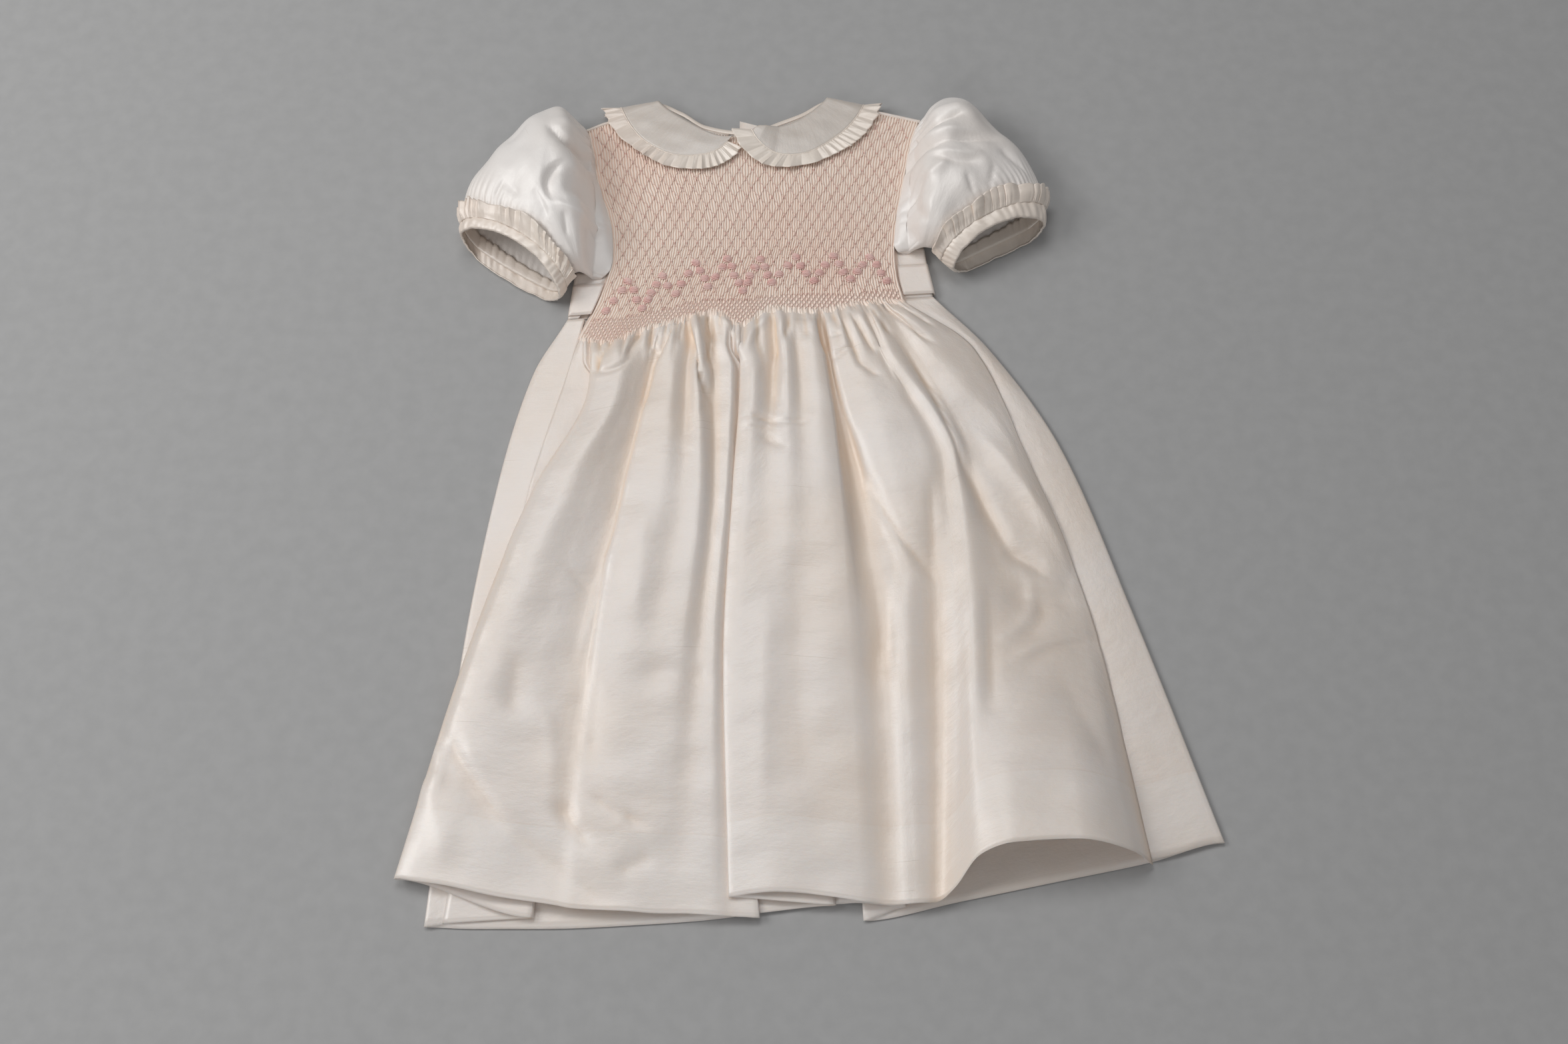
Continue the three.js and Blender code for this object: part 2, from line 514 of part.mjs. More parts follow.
/** The sleeve's middle layer: a place down it, and an angle: 0 outwards, a quarter turn on top. */
function sleeveShape(side) {
  const rows = SLEEVE[side < 0 ? 'left' : 'right'];
  const columns = RING_HEAD.split(' ').slice(1);
  const at = Object.fromEntries(columns.map((name) => (
    [name, curve(range(rows.length), rows.map((r) => r[name]))])));
  return (place, angle) => {
    const row = Object.fromEntries(columns.map((name) => [name, at[name](place)]));
    const [dx, dy] = [(row.outX - row.inX) / 2, (row.outY - row.inY) / 2];
    const half = Math.hypot(dx, dy);
    const toBody = side < 0 ? [dy / half, -dx / half] : [-dy / half, dx / half];
    const [c, s] = ringAngle(angle, (2 * half) / (row.top - row.bottom));
    const lean = (s > 0 ? row.leanTop : row.leanBottom) * s * s;
    const height = s > 0 ? (row.top - row.wide) * s : (row.wide - row.bottom) * Math.max(-1, 1.35 * s);
    return new THREE.Vector3(
      (row.outX + row.inX) / 2 + dx * c + toBody[0] * lean,
      (row.outY + row.inY) / 2 + dy * c + toBody[1] * lean,
      row.wide + height,
    );
  };
}

/** The sleeve's seam, all round the armhole: along the front, the underarm, and the back. */
function armhole(side, angle) {
  const left = side < 0;
  const [top, bottom] = left ? [179, 59] : [186.5, 79.6];
  const [c, s] = ringAngle(angle, 8);
  const y = lerp(top, bottom, (1 - c) / 2);
  const backX = curveOf(BACK_ARM, 'y', left ? 'leftX' : 'rightX')(Math.max(y, bottom + 7));
  const [x, z] = s > 0 ? [frontSide(side, y), BODICE_EDGE_Z] : [backX, BACK_Z];
  const middle = (BODICE_EDGE_Z + BACK_Z) / 2;
  const end = left ? lerp(-119.5, -106.5, (1 - c) / 2) : lerp(122, 107, (1 - c) / 2);
  const share = Math.min(1, Math.abs(s) * 1.6);
  return new THREE.Vector3(lerp(end, x + side * 1.2, share), y, lerp(middle, z, share));
}

function ringWall(places, side, count, point) {
  const turn = side < 0 ? -1 : 1;
  const grid = places.map((place) => range(count).map((i) => (
    point(place, (turn * 2 * Math.PI * i) / count))));
  return wall(grid, SILK, true);
}

function sleeve(side) {
  const shape = sleeveShape(side);
  return ringWall([-1, ...range(SLEEVE_END + 1)], side, RING_POINTS, (place, angle) => (
    place < 0 ? armhole(side, angle) : shape(place, angle)));
}

function cuffBand(side) {
  const places = [SLEEVE_END + 0.08, SLEEVE_END + 1];
  return ringWall(places, side, RING_POINTS, sleeveShape(side));
}

/** The ruffle, sewn in between sleeve and band and turned back over the sleeve. */
function cuffRuffle(side) {
  const shape = sleeveShape(side);
  const out = (place, angle) => {
    const step = 0.02;
    const round = shape(place, angle + step).sub(shape(place, angle - step));
    const down = shape(place + step, angle).sub(shape(place - step, angle));
    return down.cross(round).normalize().multiplyScalar(-side);
  };
  return ringWall([0, 1, 2], side, 48, (row, angle) => {
    const { at, offset, wave } = RUFFLE_LAYS[row];
    const under = clamp(-Math.sin(angle) * 2.5);
    const lift = offset + wave * RUFFLE.cuffLift * Math.sin(RUFFLE.cuffWaves * angle);
    const pressed = 1.5 + 0.8 * Math.cos(angle) ** 4;
    return shape(at, angle).addScaledVector(out(at, angle), lerp(lift, pressed, under));
  });
}

// ---- sash: sewn into each side seam, round the side and under the back to its middle ----
const SASH = { width: 24, foldX: 128.2 };

function sash(side) {
  const left = side < 0;
  const low = (x) => backWaist(x) + 2;
  const over = BACK_Z + TURN_UP + LAYER;
  const xs = [side * 3, side * 40, side * 84, side * (SASH.foldX - 2)];
  const rows = [SASH.width, SASH.width / 2, 0].map((up) => {
    const line = xs.map((x) => [x, FLOOR]);
    line.push([side * SASH.foldX, (FLOOR + over) / 2]);
    line.push([side * (SASH.foldX - 2), over]);
    const y = low(side * 110) + up;
    line.push([frontSide(side, y) + side * 1.3, over + 0.3]);
    return line.map(([x, z]) => new THREE.Vector3(x, low(x) + up, z));
  });
  return wall(left ? rows.map((row) => row.reverse()) : rows, SILK);
}

// ---- the whole dress ----
sew('front', front(), BLUSH);
sew('back_skirt', backSkirt(), IVORY);
for (const [name, side] of [['left', -1], ['right', 1]]) {
  sew(`back_bodice_${name}`, backBodice(side), IVORY);
  sew(`collar_${name}`, collar(side, COLLAR[name]), PEARL);
  sew(`collar_ruffle_${name}`, collarRuffle(side, COLLAR[name]), PEARL);
  sew(`sleeve_${name}`, sleeve(side), PEARL);
  sew(`cuff_band_${name}`, cuffBand(side), PEARL);
  sew(`cuff_ruffle_${name}`, cuffRuffle(side), PEARL);
  sew(`sash_${name}`, sash(side), IVORY);
}
sew('neck_binding', neckBinding(), PEARL);
BUTTON.ys.forEach((y, i) => {
  const disc = new THREE.CylinderGeometry(BUTTON.radius, BUTTON.radius, BUTTON.thick, 14);
  disc.rotateX(Math.PI / 2);
  disc.translate(BUTTON.x + PLACE.x, y + PLACE.y, BUTTON.thick / 2 + 0.1);
  sew(`button_${i + 1}`, disc, PEARL);
});

export default dress;
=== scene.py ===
"""A small child's smocked silk dress, laid flat with its front up."""
import math

import bpy
import numpy as np
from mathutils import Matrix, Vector


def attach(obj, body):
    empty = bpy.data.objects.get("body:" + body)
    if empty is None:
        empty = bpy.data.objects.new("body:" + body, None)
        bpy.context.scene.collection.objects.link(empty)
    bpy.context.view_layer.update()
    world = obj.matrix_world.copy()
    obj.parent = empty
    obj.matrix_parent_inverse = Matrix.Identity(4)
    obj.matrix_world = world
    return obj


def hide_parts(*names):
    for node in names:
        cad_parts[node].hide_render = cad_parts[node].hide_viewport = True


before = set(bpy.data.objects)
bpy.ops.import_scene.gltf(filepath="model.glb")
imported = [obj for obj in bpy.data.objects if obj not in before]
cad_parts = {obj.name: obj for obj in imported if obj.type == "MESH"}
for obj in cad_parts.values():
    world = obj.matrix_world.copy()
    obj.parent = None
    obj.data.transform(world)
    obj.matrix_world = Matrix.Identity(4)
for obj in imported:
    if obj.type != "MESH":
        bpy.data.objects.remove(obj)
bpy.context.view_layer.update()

# ---- sizes, in millimetres, in the dress's own measures: x = 0 on the bodice's centre line,
# y = 0 just below the waist, z = 0 on the surface that it lies on ----
PLACE = np.array([-40.0, 94.9, 0.0])  # the measures' origin in the part's frame
MM = 0.001
SMOCKED, SILK = 2.6, 1.0  # the solids' walls
SEAM, LAYER = 0.3, 1.3  # the gap between two pieces, and the height of one layer on another
FLOOR, LOWEST = 0.5, 0.03  # the middle of the lowest layer, and the lowest point of any piece
BACK_Z = FLOOR + LAYER + 0.1  # the middle of the back's layer
TURN_UP = 2.1  # from the back to its part that wraps round to the front
CLOTH = 0.45  # the silk's own thickness as drawn
HEM_DEPTH = 50.0
FRONT_WIDTH, BACK_WIDTH, SKIRT_LENGTH = 0.72, 0.66, 0.42  # of the cut, in metres
LEFT, RIGHT = -1, 1
NAMES = {LEFT: "left", RIGHT: "right"}


# ---- small tools ----
def lerp(a, b, t):
    return a + (b - a) * t


def clamp(t):
    return np.clip(t, 0.0, 1.0)


def smooth(t):
    t = clamp(t)
    return t * t * (3 - 2 * t)


def table(head, rows):
    """The columns of a table by their names."""
    names = head.split()
    return {name: np.array([row[i] for row in rows], float) for i, name in enumerate(names)}


def slopes(step, start=1.0):
    """Slopes at the points of a curve that never swings past them, from its steps."""
    before, after = step[..., :-1], step[..., 1:]
    same = before * after > 0
    total = np.where(same, before + after, 1.0)
    inner = np.where(same, 2 * before * after / total, 0.0)
    first = step[..., :1] * start
    return np.concatenate([first, inner, step[..., -1:]], axis=-1)


def hermite(p0, p1, m0, m1, t):
    ease = t * t * (3 - 2 * t)
    return lerp(p0, p1, ease) + m0 * t * (1 - t) ** 2 - m1 * t * t * (1 - t)


def curve(ats, values, start=1.0):
    """A smooth curve through points, as a function. start: its first slope, in straight slopes."""
    ats, values = np.asarray(ats, float), np.asarray(values, float)
    gap = np.diff(ats)
    slope = slopes(np.diff(values) / gap, start)

    def at(u):
        u = np.clip(u, ats[0], ats[-1])
        i = np.clip(np.searchsorted(ats, u, side="right") - 1, 0, len(gap) - 1)
        t = (u - ats[i]) / gap[i]
        return hermite(values[i], values[i + 1], slope[i] * gap[i], slope[i + 1] * gap[i], t)
    return at


def points(x, y, z):
    """Points from their coordinates, each an array or one number."""
    return np.stack(np.broadcast_arrays(x, y, z), axis=-1).astype(float)


def unit(v):
    return v / np.maximum(np.linalg.norm(v, axis=-1, keepdims=True), 1e-9)


def ripple(x, y, length, seed):
    """A soft uneven wave of height about 1, the same each run: four waves in four directions."""
    total = 0.0
    for k in range(4):
        turn = 2.4 * k + 1.7 * seed
        way = x * math.cos(turn) + y * math.sin(turn)
        total = total + np.sin((1 + 0.37 * k) / length * way * math.tau + 5.1 * k + seed)
    return total / 2.6


# ---- cloth as meshes ----
def rest_on(grid, low, soft=0.5):
    """Keeps the grid above a height, with a soft bend where it comes to rest."""
    over = grid[..., 2] - low
    grid[..., 2] = low + (over + np.sqrt(over ** 2 + soft ** 2)) / 2
    return grid


def lay_down(grid, low):
    """Keeps the grid above a height, flat where it comes to rest."""
    grid[..., 2] = np.maximum(grid[..., 2], low)
    return grid


def grid_normals(grid, closed=False):
    """Normals of a grid that runs down the piece by rows and to the right by columns."""
    if closed:
        across = np.roll(grid, -1, 1) - np.roll(grid, 1, 1)
    else:
        across = np.gradient(grid, axis=1)
    return unit(np.cross(np.gradient(grid, axis=0), across))


def quads(rows, columns, closed, offset=0, flip=False):
    """Faces over a grid of points; closed: from its last column to the first one too."""
    j, i = np.mgrid[0:rows - 1, 0:columns if closed else columns - 1]
    a = j * columns + i
    d = j * columns + (i + 1) % columns
    b, c = a + columns, d + columns
    faces = np.stack([a, d, c, b] if flip else [a, b, c, d], axis=-1).reshape(-1, 4)
    return faces + offset


def turned_over(grid, turn):
    """The grid, or the grid with its columns the other way round, so that its face looks up."""
    return grid[:, ::-1] if turn else grid


def build(name, verts, faces, uvs, material, valley=None):
    """A mesh object from points in measures. faces: an array of quads."""
    mesh = bpy.data.meshes.new(name)
    verts = np.array(verts, float).reshape(-1, 3)
    verts[:, 2] = np.maximum(verts[:, 2], LOWEST)
    verts = (verts + PLACE) * MM
    faces = np.asarray(faces, np.int32)
    mesh.vertices.add(len(verts))
    mesh.vertices.foreach_set("co", verts.ravel())
    mesh.loops.add(faces.size)
    mesh.loops.foreach_set("vertex_index", faces.ravel())
    mesh.polygons.add(len(faces))
    mesh.polygons.foreach_set("loop_start", np.arange(0, faces.size, 4, dtype=np.int32))
    if uvs is not None:
        layer = mesh.uv_layers.new(name="cloth")
        layer.data.foreach_set("uv", np.asarray(uvs, float).reshape(-1, 2)[faces.ravel()].ravel())
    mesh.update(calc_edges=True)
    mesh.polygons.foreach_set("use_smooth", np.full(len(faces), True))
    if valley is not None:
        mesh.attributes.new("valley", "FLOAT", "POINT").data.foreach_set("value", valley)
    mesh.validate()
    obj = bpy.data.objects.new(name, mesh)
    bpy.context.scene.collection.objects.link(obj)
    mesh.materials.append(material)
    return obj


def cloth(name, grid, material, uv=None, thick=CLOTH, closed=False, valley=None):
    """A shell, or one sheet where thick is 0, on a grid of points. uv: metres on the cloth."""
    rows, columns = grid.shape[:2]
    name = f"{name}_cloth"
    uv = flat_uv(grid, closed) if uv is None else uv
    if not thick:
        return build(name, grid, quads(rows, columns, closed), uv, material, valley.ravel())
    away = grid_normals(grid, closed) * thick / 2
    verts = np.concatenate([(grid + away).reshape(-1, 3), (grid - away).reshape(-1, 3)])
    under = rows * columns
    faces = [quads(rows, columns, closed), quads(rows, columns, closed, under, True)]
    index = np.arange(under).reshape(rows, columns)
    rims = [index[0][::-1], index[-1]]
    if closed:
        rims = [np.append(rim, rim[0]) for rim in rims]
    else:
        rims += [index[:, 0], index[::-1, -1]]
    for rim in rims:
        a, b = rim[:-1], rim[1:]
        faces.append(np.stack([b, a, a + under, b + under], axis=-1))
    uvs = np.concatenate([uv.reshape(-1, 2)] * 2)
    if valley is not None:
        valley = np.concatenate([valley.ravel(), np.zeros(under)])
    return build(name, verts, np.concatenate(faces), uvs, material, valley)


def valleys(grid, u):
    """How much each point lies in a narrow valley, 0 to 1. u: the columns' places across, in mm."""
    z = grid[..., 2]
    most = np.zeros(z.shape)
    steepest = 0.65
    for reach in (3.0, 6.0, 10.0, 16.0):
        beside = [np.array([np.interp(u + way * reach, u, row) for row in z]) for way in (-1, 1)]
        most = np.maximum(most, (sum(beside) / 2 - z) / reach)
    return clamp(most / steepest)


def flat_uv(grid, closed):
    """Metres on the cloth: across by the longest steps of any row, down by the columns' mean."""
    if closed:
        return flat_uv(np.concatenate([grid, grid[:, :1]], axis=1), False)[:, :-1]
    across = np.linalg.norm(np.diff(grid, axis=1), axis=-1).max(axis=0)
    u = np.concatenate([[0], np.cumsum(across)])
    down = np.linalg.norm(np.diff(grid, axis=0), axis=-1).mean(axis=1)
    v = np.concatenate([[0], np.cumsum(down)])
    return np.stack(np.meshgrid(u, v[-1] - v), axis=-1) * MM


def tubes(name, lines, radius, material, sides=3, taper=0.0):
    """Many threads as one mesh: lines is an array of lines, points and xyz."""
    lines = np.asarray(lines, float)
    count, length = lines.shape[:2]
    along = unit(np.gradient(lines, axis=1))
    side = unit(np.cross(along, [0, 0, 1.0]))
    top = np.cross(side, along)
    turn = (math.pi / 2 + np.arange(sides) * math.tau / sides)[:, None]
    size = radius * (1 - taper * np.linspace(-1, 1, length) ** 4)
    shape = side[:, :, None, :] * np.cos(turn) + top[:, :, None, :] * np.sin(turn)
    verts = lines[:, :, None, :] + shape * size[None, :, None, None]
    k = np.arange(count)[:, None, None] * length * sides
    j = np.arange(length - 1)[None, :, None] * sides
    i = np.arange(sides)[None, None, :]
    n = (i + 1) % sides
    faces = np.stack([k + j + i, k + j + n, k + j + sides + n, k + j + sides + i], axis=-1)
    down = np.broadcast_to(np.arange(length)[None, :, None] * 0.1, verts.shape[:3])
    round_ = np.broadcast_to(i / sides, verts.shape[:3])
    return build(name, verts, faces.reshape(-1, 4), np.stack([round_, down], -1), material)


# ---- materials ----
def srgb(r, g, b):
    linear = [((c / 255 + 0.055) / 1.055) ** 2.4 for c in (r, g, b)]
    return (*linear, 1.0)


WARP_STEP, WEFT_STEP = 0.55 * MM, 0.5 * MM  # from thread to thread


class Nodes:
    """A short way to write a material's node tree. Scales are waves per metre."""

    def __init__(self, name):
        self.material = bpy.data.materials.new(name)
        self.material.use_nodes = True
        self.tree = self.material.node_tree

    def plug(self, value, socket):
        """Links an output to the socket, or sets the socket's own value."""
        if hasattr(value, "is_linked"):
            self.tree.links.new(value, socket)
        else:
            socket.default_value = value

    def new(self, kind, sockets=None, **settings):
        node = self.tree.nodes.new("ShaderNode" + kind)
        for key, value in settings.items():
            setattr(node, key, value)
        for key, value in (sockets or {}).items():
            self.plug(value, node.inputs[key])
        return node

    def shade(self, sockets):
        """Gives the material's shader its values and links."""
        shader = self.tree.nodes["Principled BSDF"]
        for key, value in sockets.items():
            self.plug(value, shader.inputs[key])
        return self.material

    def place(self):
        return self.new("TexCoord").outputs["Object"]

    def on_cloth(self):
        """The place on the cloth, in metres, and its parts across and down."""
        where = self.new("UVMap", uv_map="cloth").outputs[0]
        across, down, _ = self.new("SeparateXYZ", {0: where}).outputs
        return where, across, down

    def math(self, kind, a, b=0.0, c=0.0):
        return self.new("Math", {0: a, 1: b, 2: c}, operation=kind).outputs[0]

    def times(self, a, b):
        return self.math("MULTIPLY", a, b)

    def noise(self, where, scale=1.0, detail=3.0, rough=0.5):
        sockets = {"Vector": where, "Scale": scale, "Detail": detail, "Roughness": rough}
        return self.new("TexNoise", sockets).outputs["Fac"]

    def stretch(self, where, scale, move=(0, 0, 0)):
        sockets = {"Vector": where, "Scale": scale, "Location": move}
        return self.new("Mapping", sockets).outputs[0]

    def ramp(self, value, low, high):
        sockets = {"Value": value, "From Min": low, "From Max": high}
        return self.new("MapRange", sockets, interpolation_type="SMOOTHSTEP").outputs[0]

    def mix(self, factor, a, b):
        return self.new("Mix", {0: factor, 6: a, 7: b}, data_type="RGBA").outputs[2]

    def bump(self, height, strength, distance, after=None):
        sockets = {"Height": height, "Strength": strength, "Distance": distance}
        if after:
            sockets["Normal"] = after
        return self.new("Bump", sockets).outputs[0]


def silk(name, color, shade, crumple, hem=0.0, rough=0.40, slub=1.0, deep=0.0, painted_shade_color=None,
         through=0.3):
    """Dupioni: a fine plain weave with slubs across, small pressed creases, and a soft sheen.

    crumple and slub: how strong they are. hem: its depth in metres. deep: how much of the painted
    shade colour the valleys take. through: how much light spreads inside the silk.
    """
    n = Nodes(name)
    where, across, down = n.on_cloth()
    # weft slubs: long across the cloth, thin down it
    slubs = n.noise(n.stretch(where, (28, 1500, 1)), rough=0.6)
    thick_slubs = n.ramp(n.noise(n.stretch(where, (16, 620, 1), (3, 7, 0)), detail=2.0), 0.64, 0.80)
    patches = n.noise(n.stretch(n.place(), (9, 9, 9)), rough=0.55)
    base = n.mix(n.ramp(patches, 0.35, 0.7), color, shade)
    base = n.mix(n.times(n.ramp(slubs, 0.3, 0.8), 0.14 * slub), base, (1, 0.95, 0.91, 1))
    base = n.mix(n.times(thick_slubs, 0.16 * slub), base, shade)
    # a stray brownish thread here and there
    stray = n.ramp(n.noise(n.stretch(where, (17, 1300, 1), (11, 4, 0)), detail=0.0), 0.82, 0.87)
    base = n.mix(n.times(stray, 0.42 * slub), base, srgb(186, 166, 142))
    if hem:
        # the hem's own layer, turned up behind, makes it denser and paler
        edge = n.math("LESS_THAN", down, hem)
        base = n.mix(n.times(edge, 0.13), base, (1, 0.97, 0.94, 1))
        turned = n.math("COMPARE", down, hem, 0.6 * MM)
        base = n.mix(n.times(turned, 0.35), base, shade)
    if deep:
        # painted shade: the valley attribute mixes the colour towards the painted shade colour,
        # standing in for the warm light caught between the folds
        valley = n.new("Attribute", attribute_name="valley").outputs["Fac"]
        base = n.mix(n.times(valley, deep), base, painted_shade_color)
    # the weave, the slubs and the small creases as height
    warp = n.math("SINE", n.times(across, math.tau / WARP_STEP))
    weft = n.math("SINE", n.times(down, math.tau / WEFT_STEP))
    fine = n.bump(n.times(warp, weft), 0.12, 0.1 * MM)
    lines = n.bump(slubs, 0.16 * slub, 0.3 * MM, fine)
    cracks = n.noise(n.stretch(where, (55, 90, 1)), detail=4.0, rough=0.62)
    soft = n.noise(n.stretch(where, (16, 22, 1), (5, 2, 0)), detail=2.0)
    folds = n.bump(n.math("MULTIPLY_ADD", soft, 2.2, cracks), 0.30 * crumple, 2.6 * MM, lines)
    look = {
        "Base Color": base, "Normal": folds,
        "Roughness": n.math("MULTIPLY_ADD", slubs, 0.10, rough - 0.04),
        "Specular IOR Level": 1.0, "IOR": 1.7,
        "Sheen Weight": 0.25, "Sheen Roughness": 0.35, "Sheen Tint": (1.0, 0.97, 0.95, 1),
    }
    if through:
        look |= {"Subsurface Weight": through, "Subsurface Scale": 0.8 * MM,
                 "Subsurface Radius": (1.0, 0.8, 0.65)}
    return n.shade(look)


def floss(name, color, shade):
    """Stranded cotton: twisted strands, a soft sheen, and turns painted lighter and darker as
    painted shade.
    """
    n = Nodes(name)
    _, round_, down = n.on_cloth()
    twist = n.math("SINE", n.math("MULTIPLY_ADD", down, 40.0, n.times(round_, math.tau)))
    tone = n.ramp(n.noise(n.place(), 180.0, 2.0), 0.3, 0.7)
    # painted shade: along the twist the colour swings towards the shade colour and back
    turns = n.math("MULTIPLY_ADD", twist, 0.15, 0.2)
    return n.shade({
        "Base Color": n.mix(turns, n.mix(tone, color, shade), shade),
        "Normal": n.bump(twist, 0.4, 0.2 * MM), "Roughness": 0.5, "Sheen Weight": 0.4,
    })


def shell():
    """Mother-of-pearl: cloudy bands and a hard gloss."""
    n = Nodes("button_pearl")
    clouds = n.noise(n.stretch(n.place(), (420, 900, 420)), rough=0.6)
    bands = n.ramp(clouds, 0.3, 0.75)
    return n.shade({
        "Base Color": n.mix(bands, srgb(232, 226, 216), srgb(246, 241, 234)),
        "Roughness": n.math("MULTIPLY_ADD", bands, 0.12, 0.18),
        "Normal": n.bump(clouds, 0.08, 0.1 * MM), "Coat Weight": 0.5, "Coat Roughness": 0.1,
    })


def paper():
    """The floor's plain grey paper."""
    n = Nodes("paper")
    grain = n.ramp(n.noise(n.place(), 90.0, 4.0), 0.2, 0.8)
    return n.shade({"Base Color": n.mix(grain, srgb(172, 172, 172), srgb(178, 178, 178)),
                    "Roughness": 0.9})


IVORY, IVORY_SHADE = srgb(243, 231, 223), srgb(239, 223, 210)
BUTTON_SHELL = shell()
# painted shade: the skirt's narrow valleys are painted a warm beige
SKIRT_SILK = silk("ivory_silk", IVORY, IVORY_SHADE, crumple=0.6, hem=HEM_DEPTH * MM,
                  deep=0.9, painted_shade_color=srgb(238, 205, 172))
PLAIN_SILK = silk("ivory_silk_plain", IVORY, IVORY_SHADE, crumple=0.5)
# painted shade: the back's valley colour is a grey, laid on its single-layer right side
BACK_SILK = silk("ivory_silk_back", IVORY, IVORY_SHADE, crumple=0.6, hem=HEM_DEPTH * MM,
                 deep=0.75, painted_shade_color=srgb(206, 200, 194))
COLLAR_SILK = silk("collar_silk", srgb(217, 208, 199), srgb(211, 200, 189), crumple=0.5)
# painted light: the sleeves' silk is painted paler and whiter than the skirt's silk
SLEEVE_SILK = silk("ivory_silk_sleeve", srgb(253, 248, 244), srgb(249, 241, 234), crumple=0.7,
                   rough=0.44, slub=0.8, through=0.0)
TRIM_SILK = silk("trim_silk", srgb(246, 234, 221), srgb(241, 225, 211), crumple=0.6, through=0.0)
# painted light: the smocked silk is painted paler than the skirt's silk, and its pleats' valleys
# take a pinker painted shade
SMOCKED_SILK = silk("smocked_silk", srgb(255, 240, 226), srgb(254, 232, 216), crumple=0.0,
                    rough=0.5, slub=0.5, deep=0.6, painted_shade_color=srgb(236, 190, 168), through=0.0)
PINK = floss("pink_floss", srgb(255, 228, 218), srgb(252, 212, 201))
ROSE = floss("rose_floss", srgb(255, 224, 216), srgb(252, 204, 196))
DOT = floss("rose_dots", srgb(255, 216, 204), srgb(250, 200, 188))
DASH = floss("salmon_floss", srgb(255, 228, 216), srgb(253, 216, 203))


# ---- outlines of the bodice ----
FRONT_SIDES = table("down leftX rightX", [
    [0, -118, 120], [0.14, -113.5, 114], [0.28, -109.5, 110], [0.42, -102, 106.5],
    [0.54, -98, 103.5], [0.64, -97.5, 102], [0.74, -100.5, 100.5], [0.86, -107, 101.5],
    [1, -118, 106],
])
FRONT_TOP = table("x y", [
    [-118, 180], [-106, 185], [-95, 188], [-69, 198], [-51, 190], [-33, 177.5], [-11, 173],
    [10, 176.5], [20, 181], [35, 188], [56, 200], [78, 197], [94, 193.5], [108, 190.5], [120, 188],
])
WAIST = table("x y", [
    [-118, 12], [-97, 7], [-80, 15], [-60, 21], [-24, 30], [-7, 20],
    [14, 32], [46, 31], [72, 37], [106, 41],
])
BACK_NECK = table("x y", [
    [-69, 198], [-45, 184], [-24, 178], [0, 177], [17, 180], [35, 188], [56, 200],
])
BACK_WAIST = table("x y", [[-127, 27], [0, 36], [127, 45]])
# how high the bodice lies at its sides, how much more in its middle, its half width, and where it
# sinks towards the shoulders
CHEST = {"side": 5.2, "rise": 5.6, "half": 120, "shoulder": 200, "slope": 40}


def curve_of(rows, at, value):
    """One column of a table as a curve over another."""
    return curve(rows[at], rows[value])


left_side, right_side = (curve_of(FRONT_SIDES, "down", name) for name in ("leftX", "rightX"))
front_top = curve_of(FRONT_TOP, "x", "y")
waist_y = curve_of(WAIST, "x", "y")
back_neck = curve_of(BACK_NECK, "x", "y")
back_waist = curve_of(BACK_WAIST, "x", "y")


def front_side(side, y):
    """The front's side edge at the height y."""
    curve_x = left_side if side == LEFT else right_side
    top, low = front_top(curve_x(0.0)), waist_y(curve_x(1.0))
    return curve_x(clamp((top - y) / (top - low)))


def bodice_z(x, y):
    """How high the bodice's front lies."""
    round_ = 1 - clamp(np.abs(x) / CHEST["half"]) ** 3
    full = lerp(0.55, 1, clamp((CHEST["shoulder"] - y) / CHEST["slope"]))
    return CHEST["side"] + CHEST["rise"] * round_ * full


